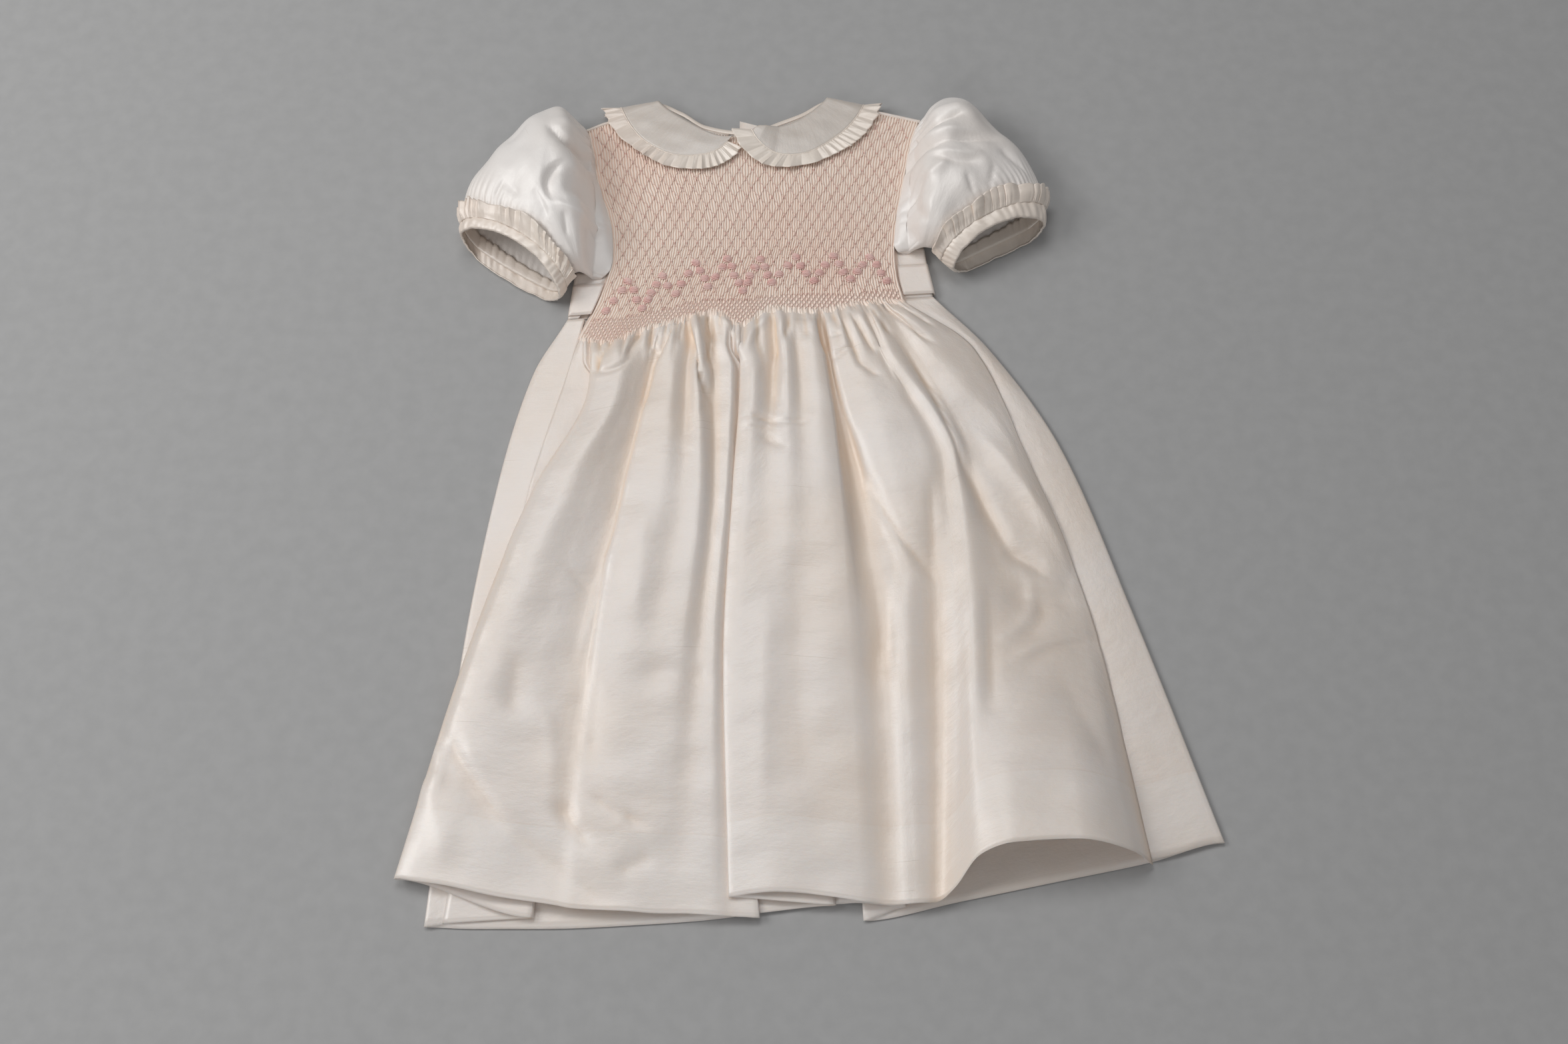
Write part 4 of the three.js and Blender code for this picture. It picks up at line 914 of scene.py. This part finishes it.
def back_bodice(side):
    """A half of the back bodice, and its part below the armhole that wraps round to the front."""
    left = side == LEFT
    under_arm, tip, neck_top = (57, 178.8, 182) if left else (77.5, 186.8, 188)
    wrap_low, leans = (12, 3.5) if left else (41, 5)
    arm = curve_of(BACK_ARM, "y", f"{NAMES[side]}X")
    inside = np.interp(np.linspace(0, 5, 21), np.arange(6), BACK_INSIDE[side])

    def layer(x):
        return BACK_Z + (0 if left else LAYER * clamp((LAP_X - x) / 4))

    def top_at(x):
        high = np.where((x > -66) & (x < 55), back_neck(x), front_top(x) - 1.2)
        return np.where(np.abs(x) < PLACKET_HALF + 4, neck_top - 0.3 * np.maximum(x, -9), high)
    # the layer that lies on the surface, from the waist to the neck and shoulder
    rows = []
    for up in np.linspace(0, 1, 24):
        past_arm = (up * 3 - 1) / 2
        arm_x = arm(lerp(under_arm, tip, clamp(past_arm)))
        x = np.concatenate([inside, lerp(inside[-1], arm_x, np.linspace(0, 1, 9)[1:])])
        if past_arm <= 0:
            y = lerp(back_waist(x), under_arm, clamp(up * 3))
        else:
            y = lerp(under_arm, top_at(x), past_arm)
        rows.append(points(x, y, layer(x)))
    # bent up at the shoulder to the front's seam
    last = rows[-1]
    outer = np.arange(len(last)) >= len(inside) + 1
    for past, rise in ((2.8, 0.5), (1.6, 0.84)):
        y = front_top(last[:, 0]) + past
        bent = points(last[:, 0], y, lerp(BACK_Z, bodice_z(last[:, 0], y), rise))
        rows.append(np.where(outer[:, None], bent, last + [0, 0.05, 0]))
    wrap = []
    turn = np.linspace(-0.5, 0.5, 7) * math.pi
    wrap_top = under_arm + 7
    for up in np.linspace(0, 1, 16):
        fold = side * (SIDE_X - leans * up)
        end = front_side(side, lerp(wrap_low, wrap_top, up)) + side * 1.3
        bend = fold - side * FOLD_ROUND + side * FOLD_ROUND * np.cos(turn)
        xs = np.concatenate([[arm(under_arm)], bend, np.linspace(fold - side * 3, end, 8)])
        zs = np.concatenate([[BACK_Z], BACK_Z + TURN_UP * (0.5 + 0.5 * np.sin(turn)),
                             np.full(8, BACK_Z + TURN_UP)])
        wrap.append(points(xs, lerp(back_waist(xs), wrap_top, up), zs))
    name = f"back_bodice_{NAMES[side]}"
    return [cloth(name + end, turned_over(np.array(grid)[::-1], left), PLAIN_SILK, thick=0.4)
            for end, grid in (("", rows), ("_side", wrap))]


# ---- collar ----
COLLAR_HEAD = "neckX neckY seamX seamY edgeX edgeY lies"
COLLAR = {
    LEFT: table(COLLAR_HEAD, [
        [-13, 172.3, -17.5, 167.5, -7, 160, 1], [-19, 171.7, -22.5, 161.5, -15, 151, 1],
        [-27, 174, -34, 156, -34, 143, 1], [-39, 181.5, -52, 155, -57, 143, 1],
        [-50, 189.5, -68, 162, -76, 153, 1], [-59, 196, -82, 174, -91, 167.5, 1],
        [-66, 203, -92.5, 193, -105, 188.5, 1], [-68, 206, -95.5, 202.5, -109, 203, 0.5],
        [-66, 203.5, -92.5, 194, -105, 190, 0], [-53, 192, -81, 174, -91, 167, 0],
        [-36, 183, -59, 157.5, -66, 147, 0], [-19, 179, -33, 151, -35, 139, 0],
        [-2, 178, -7, 151, -6, 139, 0],
    ]),
    RIGHT: table(COLLAR_HEAD, [
        [5, 179, 0, 175.5, -15.5, 177, 1], [12, 179.5, 5.5, 165, -8, 160.5, 1],
        [22, 181.3, 21, 155.5, 14, 143.5, 1], [31, 186, 37, 156.5, 38, 144, 1],
        [39, 191.5, 52, 165, 60, 155, 1], [46, 198, 67, 178, 79, 171.5, 1],
        [53, 205.5, 79, 196, 92, 192.5, 1], [54, 209, 81, 204.5, 95.5, 206.5, 0.5],
        [53, 206, 79, 197, 92, 194, 0], [43, 195.5, 69, 176, 79, 168, 0],
        [29, 186.5, 49, 158.5, 56, 148, 0], [15, 181, 27, 151.5, 30, 139.5, 0],
        [2, 178.5, 6, 151, 5, 139, 0],
    ]),
}
COLLAR_OVER = SMOCKED / 2 + SILK / 2 + SEAM
CROSSING = 3.2  # how high the right half lies on the left one at the front


def rounded(ats, values):
    """A curve through points with its corners eased over about half a step."""
    plain = curve(ats, values)
    near = ((-1, 1), (-0.5, 2), (0, 2), (0.5, 2), (1, 1))  # how far off, and how much it counts

    def at(u):
        reach = 0.55 * clamp(np.minimum(u, ats[-1] - u))
        return sum(w * plain(u + d * reach) for d, w in near) / 8
    return at


def collar_lines(side, count):
    """Places round a half of the collar, how far they lie on the front, and lines through them."""
    rows = COLLAR[side]
    ats = np.arange(len(rows["lies"]))
    at = np.linspace(0, ats[-1], count)
    lies = curve(ats, rows["lies"])(at)
    crossing = CROSSING * clamp(1.8 - at) if side == RIGHT else 0 * at

    def line(which, over=0.0):
        x, y = (rounded(ats, rows[which + axis])(at) for axis in "XY")
        return points(x, y, lerp(FLOOR, bodice_z(x, y) + COLLAR_OVER + (crossing + over), lies))
    return line, lies


def collar(side):
    """A half of the collar, and the piping in its seam."""
    line, lies = collar_lines(side, 110)
    seam = line("seam")
    t = np.linspace(0.03, 1, 18)[None, :]
    grid = lerp(line("neck", 0.6 * lies)[:, None, :], seam[:, None, :], t[..., None])
    wave = 0.25 * ripple(grid[..., 0], grid[..., 1], 31.0, 2) * lies[:, None] * t * (1 - t) * 4
    grid[..., 2] += np.sin(np.pi * t) * 0.5 * lies[:, None] + wave
    name = f"collar_{NAMES[side]}"
    flat = cloth(name, turned_over(grid, side == RIGHT), COLLAR_SILK, thick=0.7)
    return flat, tubes(f"{name}_piping", seam[None] + [0, 0, 0.35], 0.55, TRIM_SILK, sides=8)


def collar_ruffle(side):
    """The ruffle sewn into a half's seam, in uneven folds."""
    fold_length, fold_high = 7.6, 3.8
    line, lies = collar_lines(side, 560)
    a, b = line("seam"), line("edge")
    steps = np.linalg.norm(np.diff(lerp(a, b, 0.5), axis=0), axis=-1)
    length = np.concatenate([[0], np.cumsum(steps)])
    tangent, outwards = unit(np.gradient(lerp(a, b, 0.6), axis=0)), unit(b - a)
    s = length / fold_length + 0.9 * np.sin(length / 19.0 + side)
    s = s + 0.45 * np.sin(length / 8.3 + 2 * side)
    high, slide = gathers(s, 3 + side)
    small, _ = gathers(2.3 * s + 0.4 * np.sin(s * 2.1), 5 + side)
    grid = []
    for w in np.linspace(0.0, 1, 14):
        p = lerp(a, b, w) + tangent * (2.5 * slide * w * (1 - 0.2 * w))[:, None]
        p = p + outwards * ((3.0 * high - 1.8 + 1.1 * np.sin(length / 13.0)) * w ** 2)[:, None]
        up = 0.15 + fold_high * high * w ** 0.8 + 0.5 * small * (1 - w)
        p[:, 2] += up * (0.15 + 0.85 * lies)
        grid.append(p)
    grid = turned_over(np.stack(grid, axis=1), side == RIGHT)
    return cloth(f"collar_ruffle_{NAMES[side]}", grid, TRIM_SILK, thick=0.3)


def shoulder_seam(side):
    """The seam ridge from the collar to the sleeve."""
    x = np.linspace(-119, -66, 40) if side == LEFT else np.linspace(54, 121, 44)
    y = front_top(x)
    line = points(x, y + 1.0, bodice_z(x, y) + 0.2)
    return tubes(f"shoulder_seam_{NAMES[side]}", line[None], 1.3, PLAIN_SILK, sides=8)


def neck_binding():
    """The binding round the neck: along the back's halves, over the shoulders, along the front."""
    def bound(x, y, low_z, high_z, low, high):
        return points(x, y + low, low_z), points(x, y + high, high_z)

    def back_half(start, stop):
        x = np.linspace(start, stop, 26)
        return bound(x, back_neck(x) + 1.4, BACK_Z + 0.2, BACK_Z + 0.6, 0, 4.4)

    def shoulder(x, y, z):
        return bound(np.array([x]), y, z, z, 0, 3.2)
    x = np.linspace(-63.5, 52, 70)
    y = front_top(x) + 1.2
    z = bodice_z(x, y) + 0.4
    rows = [back_half(-16.5, -62), shoulder(-66.5, 201.8, BACK_Z + 3),
            bound(x, y, z - 0.3, z - 1.0, 0.6, 4.2), shoulder(54.5, 203.6, BACK_Z + 3.2),
            back_half(50, 18.5)]
    low, high = (np.concatenate(edge) for edge in zip(*rows))
    t = np.linspace(0, 1, 7)[None, :, None]
    grid = lerp(low[:, None, :], high[:, None, :], t)
    grid[..., 2] += 0.4 * np.sin(np.pi * t[..., 0])
    return cloth("neck_binding", grid, TRIM_SILK, thick=0.6)


# ---- sleeves ----
RING_HEAD = "outX outY inX inY top wide bottom leanTop leanBottom"
SLEEVE = {
    LEFT: table(RING_HEAD, [
        [-123, 182.5, -111, 58.8, 16, 6, 0.5, 6, 4], [-130, 187, -113.5, 58.8, 31, 11, 0.5, 5, 2],
        [-139, 191.5, -115.5, 58.8, 45, 14, 0.5, 4, 1], [-154, 184, -118, 58.8, 50, 17, 0.5, 2, 0],
        [-172, 164, -120, 58.4, 50, 18, 0.8, 0, 0], [-190, 140, -124, 57, 45, 18, 2.1, 2, -1],
        [-200.5, 116, -126, 53, 38.5, 18, 2.2, 6, -2], [-202, 97, -127.5, 48, 35.5, 17, 2.2, 8, -3],
        [-203, 87, -131, 39, 35.5, 17, 0.6, 10, -5],
    ]),
    RIGHT: table(RING_HEAD, [
        [125.5, 190.5, 111, 79.3, 16, 6, 0.5, 5, 3], [131, 196, 114, 79.3, 30, 11, 0.5, 4, 2],
        [140, 200.5, 117, 79.2, 41, 14, 0.5, 3, 1], [154, 195, 121, 79, 47, 17, 0.5, 1, 0],
        [173, 174, 124, 78.6, 46, 17, 0.8, 0, 0], [191, 151, 128, 78, 42, 17, 2.1, 2, 0],
        [203, 129, 130.5, 75, 36.5, 16, 2.2, 4, 0], [206, 111, 132.5, 70, 34, 15, 2.2, 6, 0],
        [206, 96, 140.5, 62, 33, 15, 0.6, 8, -1],
    ]),
}
SLEEVE_END = 7  # the ring where the band begins; it ends one ring further on


def ring_angle(angle, flatness):
    """Across and up on a ring that is a circle, or the squarer the flatter it is."""
    power = 2 / np.clip(1.6 + 0.2 * flatness, 2, 3.2)
    c, s = np.cos(angle), np.sin(angle)
    return np.sign(c) * np.abs(c) ** power, np.sign(s) * np.abs(s) ** power


def sleeve_shape(side):
    """Points of the sleeve's rings, at a place along them and an angle round."""
    rows = SLEEVE[side]
    ats = np.arange(SLEEVE_END + 2)
    pick = {name: curve(ats, rows[name]) for name in RING_HEAD.split()}

    def shape(place, angle):
        place, angle = np.broadcast_arrays(place, angle)
        r = {name: f(place) for name, f in pick.items()}
        dx, dy = (r["outX"] - r["inX"]) / 2, (r["outY"] - r["inY"]) / 2
        half = np.hypot(dx, dy)
        to_x, to_y = -side * dy / half, side * dx / half
        c, s = ring_angle(angle, 2 * half / (r["top"] - r["bottom"]))
        lean = np.where(s > 0, r["leanTop"], r["leanBottom"]) * s * s
        height = np.where(s > 0, (r["top"] - r["wide"]) * s,
                          (r["wide"] - r["bottom"]) * np.maximum(-1, 1.35 * s))
        return points((r["outX"] + r["inX"]) / 2 + dx * c + to_x * lean,
                      (r["outY"] + r["inY"]) / 2 + dy * c + to_y * lean, r["wide"] + height)
    return shape


def armhole(side, angle):
    """The seam between the sleeve and the bodice, at the sleeve's angles."""
    left = side == LEFT
    top, bottom = (179, 59) if left else (186.5, 79.6)
    c, s = ring_angle(angle, 8)
    down = (1 - c) / 2
    y = lerp(top, bottom, down)
    back_x = curve_of(BACK_ARM, "y", f"{NAMES[side]}X")(np.maximum(y, bottom + 7))
    x = np.where(s > 0, front_side(side, y) - side * 1.6, back_x)
    z = np.where(s > 0, bodice_z(x, y) + 0.5, BACK_Z)
    end = lerp(-119.5, -106.5, down) if left else lerp(122, 107, down)
    share = np.minimum(1, np.abs(s) * 1.6)
    return points(lerp(end, x + side * 1.2, share), y, lerp((CHEST["side"] + BACK_Z) / 2, z, share))


def sleeve_surface(side, places, angle):
    """The sleeve from the armhole (-1) to the band, before its gathers and creases."""
    places, angle = places[:, None], angle[None, :]
    ring = sleeve_shape(side)(np.maximum(places, 0), angle)
    t = smooth(np.clip(places + 1, 0, 1) ** 0.8)[..., None]
    return lerp(np.broadcast_to(armhole(side, angle), ring.shape), ring, t)


SLEEVE_CREASES = {
    LEFT: [
        (-141, 158, -110, 141, -3.5, 3.2, 5, -0.3), (-136, 167, -113, 151, 1, 6, -2.2),
        (-143, 156, -146, 108, 0, 7.5, -2.6), (-132, 126, -136, 95, -7, 3.4, 4.4, 0.5),
        (-122, 124, -119, 103, 0, 11, 4.2), (-137, 96, -102, 95, -5.5, 3.4, -3),
        (-109, 140, -97, 64, -2, 4, -1.6), (-160, 103, -171, 115, 0, 1.8, 1.4),
        (-178, 104, -172, 116, 0, 1.8, 1.2), (-140, 86, -149, 104, 0, 1.8, 1.7),
        (-126, 74, -128, 88, 0, 1.8, 1.4), (-111, 94, -107, 56, -2, 5, 2.8),
        (-172, 150, -158, 168, 0, 5, 1.4), (-168, 128, -160, 146, 2, 7, 1.6),
    ],
    RIGHT: [
        (117, 163, 149, 173, -1, 2.8, 4.4), (114, 145, 168, 154, 0, 3.4, 5),
        (119, 157, 157, 158, -1.5, 3.6, -2.2), (124, 176, 151, 181, 0, 4, -1.8),
        (124, 141, 161, 139, -4, 2.4, -1.9), (128, 135, 158, 131, -3, 3.2, 2.2),
        (176, 143, 190, 133, 0, 2.6, 2.2), (119, 123, 119, 92, -6, 3.6, 3.6),
        (107, 116, 104, 78, 0, 4, -1.8), (123, 120, 137, 130, 0, 4, -2.4),
        (170, 130, 166, 114, 0, 2, 1.6), (111, 90, 119, 67, 0, 3, 2.2),
        (150, 120, 154, 106, 0, 2.2, 1.6), (142, 148, 176, 128, 3, 8, 1.6),
        (160, 176, 176, 160, 0, 6, 1.4),
    ],
}


def ring_angles(side, count):
    """Angles round a sleeve, so that its grid's outer face looks out on either side."""
    return -side * math.tau * np.arange(count) / count


def sleeve(side):
    """The puff, gathered into the armhole and the band."""
    count, own_round = 240, 260  # points round it, and mm round it
    cap_gather, cuff_gather, gather_high = 9.0, 5.2, 1.5  # from one to the next, and how high
    angle = ring_angles(side, count)
    places = np.concatenate([np.linspace(-1, 0, 12)[:-1], np.linspace(0, SLEEVE_END, 56)])
    grid = sleeve_surface(side, places, angle)
    around = np.arange(count) * own_round / count
    p = places[:, None]
    top = smooth((np.sin(angle) + 0.35) / 0.7)[None, :]
    outer = smooth((np.cos(angle) + 0.75) / 0.8)[None, :]
    # gathered into the armhole round the cap, and into the band all round
    wander = 0.7 * np.sin(around / 17.0) + 0.5 * np.sin(around / 7.3 + side)
    cap = np.abs(np.sin(around * math.pi / cap_gather + wander)) - 0.6
    cuff = np.abs(np.sin(around * math.pi / cuff_gather + 1.4 * wander)) - 0.6
    lift = cap * gather_high * top * outer * smooth((p + 0.95) / 0.4) * smooth(1 - (p - 0.2) / 2.2)
    lift = lift + cuff * gather_high * smooth((p - 4.8) / 1.9) * (0.35 + 0.65 * top)
    puff = ripple(grid[..., 0], grid[..., 1], 47.0, 6 + side)
    lift = lift + 0.9 * puff * top * smooth((p + 0.6) / 1.2)
    grid = grid + grid_normals(grid, True) * lift[..., None]
    grid = lay_down(crease(grid, SLEEVE_CREASES[side], True), 0.3)
    return cloth(f"sleeve_{NAMES[side]}", grid, SLEEVE_SILK, closed=True)


def on_sleeve(side, place, angle):
    """Points on the sleeve's rings, and the way out of the sleeve there."""
    shape, step = sleeve_shape(side), 0.02
    place, angle = np.broadcast_arrays(place, angle)
    round_ = shape(place, angle + step) - shape(place, angle - step)
    down = shape(place + step, angle) - shape(place - step, angle)
    return shape(place, angle), unit(np.cross(down, round_)) * -side


def cuff_band(side):
    """The cuff's bias band, a little wavy and dented."""
    angle = ring_angles(side, 240)[None, :]
    t = np.linspace(0, 1, 12)[:, None]
    wavy = 0.03 * np.sin(angle * 9 + side) + 0.025 * np.sin(angle * 14 + 2)
    place = SLEEVE_END - 0.02 + 1.02 * t + wavy * t
    grid, away = on_sleeve(side, np.minimum(place, SLEEVE_END + 1), angle)
    dents = np.sin(angle * 13 + 1.5 * np.sin(angle * 3)) * np.cos(angle * 5 + side)
    fine = np.sin(angle * 37 + 4 * t + 2 * np.sin(angle * 5))
    swell = 0.75 * np.sin(np.pi * clamp(t * 1.05)) ** 0.7
    swell = swell + (0.6 * dents * np.sin(np.pi * t) + 0.22 * fine)
    grid = grid + away * swell[..., None]
    # the bound edge turns in
    grid = lay_down(np.concatenate([grid, grid[-1:] - away[-1:] * 1.4]), FLOOR)
    return cloth(f"cuff_band_{NAMES[side]}", grid, TRIM_SILK, thick=0.7, closed=True)


def cuff_seam(side):
    """The gathered seam allowance inside the cuff, overcast, turned up towards the sleeve."""
    angle = ring_angles(side, 300)[None, :]
    t = np.linspace(0, 1, 6)[:, None]
    high, _ = gathers(angle * 34 / math.tau + 0.4 * np.sin(angle * 5), 4 + side)
    base, away = on_sleeve(side, SLEEVE_END + 0.35 - 0.75 * t - 0.12 * high * t, angle)
    grid = lay_down(base - away * (0.9 + 1.2 * high * t)[..., None], FLOOR)
    return cloth(f"cuff_seam_{NAMES[side]}", grid, TRIM_SILK, thick=0.25, closed=True)


def cuff_ruffle(side):
    """The ruffle sewn to the band, turned back over the sleeve."""
    count, folds, start, wide = 760, 33, 7.16, 13.5
    angle = ring_angles(side, count)[None, :]
    t = np.linspace(0, 1, 16)[:, None]
    s = angle * folds / math.tau + 0.6 * np.sin(angle * 3 + side)
    s = s + 0.35 * np.sin(angle * 8 + 1)
    high, slide = gathers(s, 2 + side)
    small, _ = gathers(2.6 * s + 0.3 * np.sin(3 * s), 7 + side)
    # as wide all round, however far apart the sleeve's rings are
    shape = sleeve_shape(side)
    ring_gap = np.linalg.norm(shape(SLEEVE_END, angle) - shape(SLEEVE_END - 1, angle), axis=-1)
    length = wide + 1.2 * high + 1.5 * np.sin(angle * 5 + side)
    place = lerp(start, start - np.minimum(length / ring_gap, 2.4), t)
    base, away = on_sleeve(side, place, angle)
    round_ = unit(np.roll(base, -1, 1) - np.roll(base, 1, 1))
    # pressed flat where it lies under the sleeve, and free over it
    under = clamp(-np.sin(angle) * 2.5)
    free = 0.9 + 1.7 * smooth(t * 1.6) + (4.2 + 1.6 * np.sin(angle * 11 + side)) * high * t ** 0.75
    free = free + 0.7 * small * (1 - t) * smooth(t * 6)
    pressed = 0.9 + 0.9 * smooth(t * 1.6) + 0.7 * high * t
    grid = base + away * lerp(free, pressed, under)[..., None]
    grid = grid + round_ * (2.1 * slide * t ** 0.8 * (1 - 0.5 * under))[..., None]
    grid = lay_down(grid, 0.25)
    return cloth(f"cuff_ruffle_{NAMES[side]}", grid, TRIM_SILK, thick=0.3, closed=True)


def sash(side):
    """The sash's end: from under the dress round its side to the seam."""
    wide = 24
    over = BACK_Z + TURN_UP + LAYER
    turn = np.linspace(-0.5, 0.5, 9) * math.pi
    half = (over - FLOOR) / 2
    rows = []
    for up in np.linspace(wide, 0, 9):
        fold = 126.6 - 0.1 * up if side == LEFT else 128.2 - 0.19 * up
        end = front_side(side, back_waist(side * 110.0) + 2 + up) + side * 1.3
        x = np.concatenate([side * np.linspace(3, fold - FOLD_ROUND, 24),
                            side * (fold - FOLD_ROUND + FOLD_ROUND * np.cos(turn)),
                            np.linspace(side * (fold - 3), end, 12)])
        z = np.concatenate([np.full(24, FLOOR), FLOOR + half + half * np.sin(turn),
                            over + np.linspace(0, 0.3, 12)])
        rows.append(points(x, back_waist(x) + 2 + up, z))
    grid = turned_over(np.array(rows), side == LEFT)
    return cloth(f"sash_{NAMES[side]}", grid, PLAIN_SILK, thick=0.5)


# ---- buttons of the placket, whose faces look down ----
BUTTON_Y = (146, 112, 78)
BUTTON_PROFILE = table("r z", [
    [3.0, 0.42], [3.25, 0.3], [3.5, 0.16], [3.85, 0.1], [4.2, 0.16], [4.45, 0.4], [4.5, 0.62],
    [4.42, 0.85], [4.1, 1.02], [3.0, 1.1], [1.5, 1.12], [0.02, 1.12],
])


def button(number, y):
    """A button with a dished middle and four holes."""
    middle, hole_at, hole_half = 2.9, 1.25, 0.6
    inner = np.linspace(0.02, middle, 28)
    dish = 0.5 - 0.08 * (inner / middle) ** 2
    r = np.concatenate([inner, BUTTON_PROFILE["r"]])[:, None]
    angle = math.tau * np.arange(72)[None, :] / 72
    x, across = r * np.cos(angle), r * np.sin(angle)
    z = np.concatenate([dish, BUTTON_PROFILE["z"]])[:, None] + 0 * angle
    for hole in range(4):
        turn = math.pi * (hole / 2 + 0.25)
        away = np.hypot(x - hole_at * math.cos(turn), across - hole_at * math.sin(turn))
        z = z + 0.5 * np.exp(-(away / hole_half) ** 6) * (r < middle + 0.05)
    grid = points(x, y + across, z)
    faces = quads(*grid.shape[:2], True, flip=True)
    return build(f"button_{number}_shell", grid, faces, None, BUTTON_SHELL)


# ---- the parts ----
def add(piece, node):
    """Rides the piece on the dress; it stands for the node where one is named."""
    if node:
        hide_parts(node)
    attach(piece, "root")
    return piece


front_skirt, skirt_top = make_front_skirt()
add(front_skirt, "front")
smocked = add(make_smocked(skirt_top), "front")
back_skirt = add(make_back_skirt(), "back_skirt")
wide, knots = lattice(banded=False)
close, small_knots = lattice(banded=True)
threads = [
    tubes("lattice_threads", wide, 0.29, DASH),
    tubes("lattice_stitches", knots, 0.36, DOT, taper=0.3),
    tubes("band_threads", close, 0.2, PINK),
    tubes("band_stitches", small_knots, 0.3, PINK, taper=0.4),
    tubes("rosebuds", rosebuds(), 0.47, ROSE, sides=6, taper=0.35),
]
for piece in threads:
    add(piece, None)
binding = add(neck_binding(), "neck_binding")
for side, name in NAMES.items():
    body, strip = (add(piece, f"back_bodice_{name}") for piece in back_bodice(side))
    seam = add(shoulder_seam(side), f"back_bodice_{name}")
    flat, cord = (add(piece, f"collar_{name}") for piece in collar(side))
    ruffle = add(collar_ruffle(side), f"collar_ruffle_{name}")
    puff = add(sleeve(side), f"sleeve_{name}")
    band = add(cuff_band(side), f"cuff_band_{name}")
    cuff = add(cuff_ruffle(side), f"cuff_ruffle_{name}")
    allowance = add(cuff_seam(side), f"cuff_ruffle_{name}")
    end = add(sash(side), f"sash_{name}")
for number, y in enumerate(BUTTON_Y, 1):
    add(button(number, y), f"button_{number}")

# ---- floor, light and camera ----
FLOOR_HALF, FLOOR_Z = 3.0, -0.4 * MM
ways = ((-1, -1), (1, -1), (1, 1), (-1, 1))
corners = [(x * FLOOR_HALF, y * FLOOR_HALF, FLOOR_Z) for x, y in ways]
floor = bpy.data.meshes.new("floor")
floor.from_pydata(corners, [], [(0, 1, 2, 3)])
floor.materials.append(paper())
ground = bpy.data.objects.new("floor", floor)
bpy.context.scene.collection.objects.link(ground)


def area_light(name, place, aim, size, power, color=(1.0, 0.995, 0.99)):
    light = bpy.data.lights.new(name, "AREA")
    light.shape = "RECTANGLE"
    light.size, light.size_y = size
    light.energy = power
    light.color = color
    obj = bpy.data.objects.new(name, light)
    obj.location = place
    obj.rotation_euler = (Vector(aim) - Vector(place)).to_track_quat("-Z", "Y").to_euler()
    bpy.context.scene.collection.objects.link(obj)


area_light("key", (-1.65, 0.25, 1.4), (-0.05, 0, 0), (1.1, 0.9), 16.8, (1.0, 0.995, 0.985))
area_light("side", (1.6, 0.5, 1.5), (0, 0, 0), (0.9, 0.9), 1.5)
area_light("top", (-0.35, 0.95, 2.1), (0, 0, 0), (1.3, 0.8), 12.5)
area_light("front", (-0.3, -1.6, 1.2), (0, -0.1, 0), (1.4, 0.7), 6)
world = bpy.data.worlds.new("studio")
bpy.context.scene.world = world
world.use_nodes = True
background = world.node_tree.nodes["Background"].inputs
background["Color"].default_value = (0.98, 0.985, 1.0, 1)
background["Strength"].default_value = 0.16

camera = bpy.data.cameras.new("camera")
camera.lens, camera.sensor_width = 50, 36
view = bpy.data.objects.new("camera", camera)
aim, distance, tilt = Vector((-0.017, -0.0301, 0)), 1.45, math.radians(66)
view.location = aim + Vector((0, -math.cos(tilt), math.sin(tilt))) * distance
view.rotation_euler = (math.pi / 2 - tilt, 0, 0)
bpy.context.scene.collection.objects.link(view)
bpy.context.scene.camera = view
bpy.context.scene.view_settings.view_transform = "Standard"
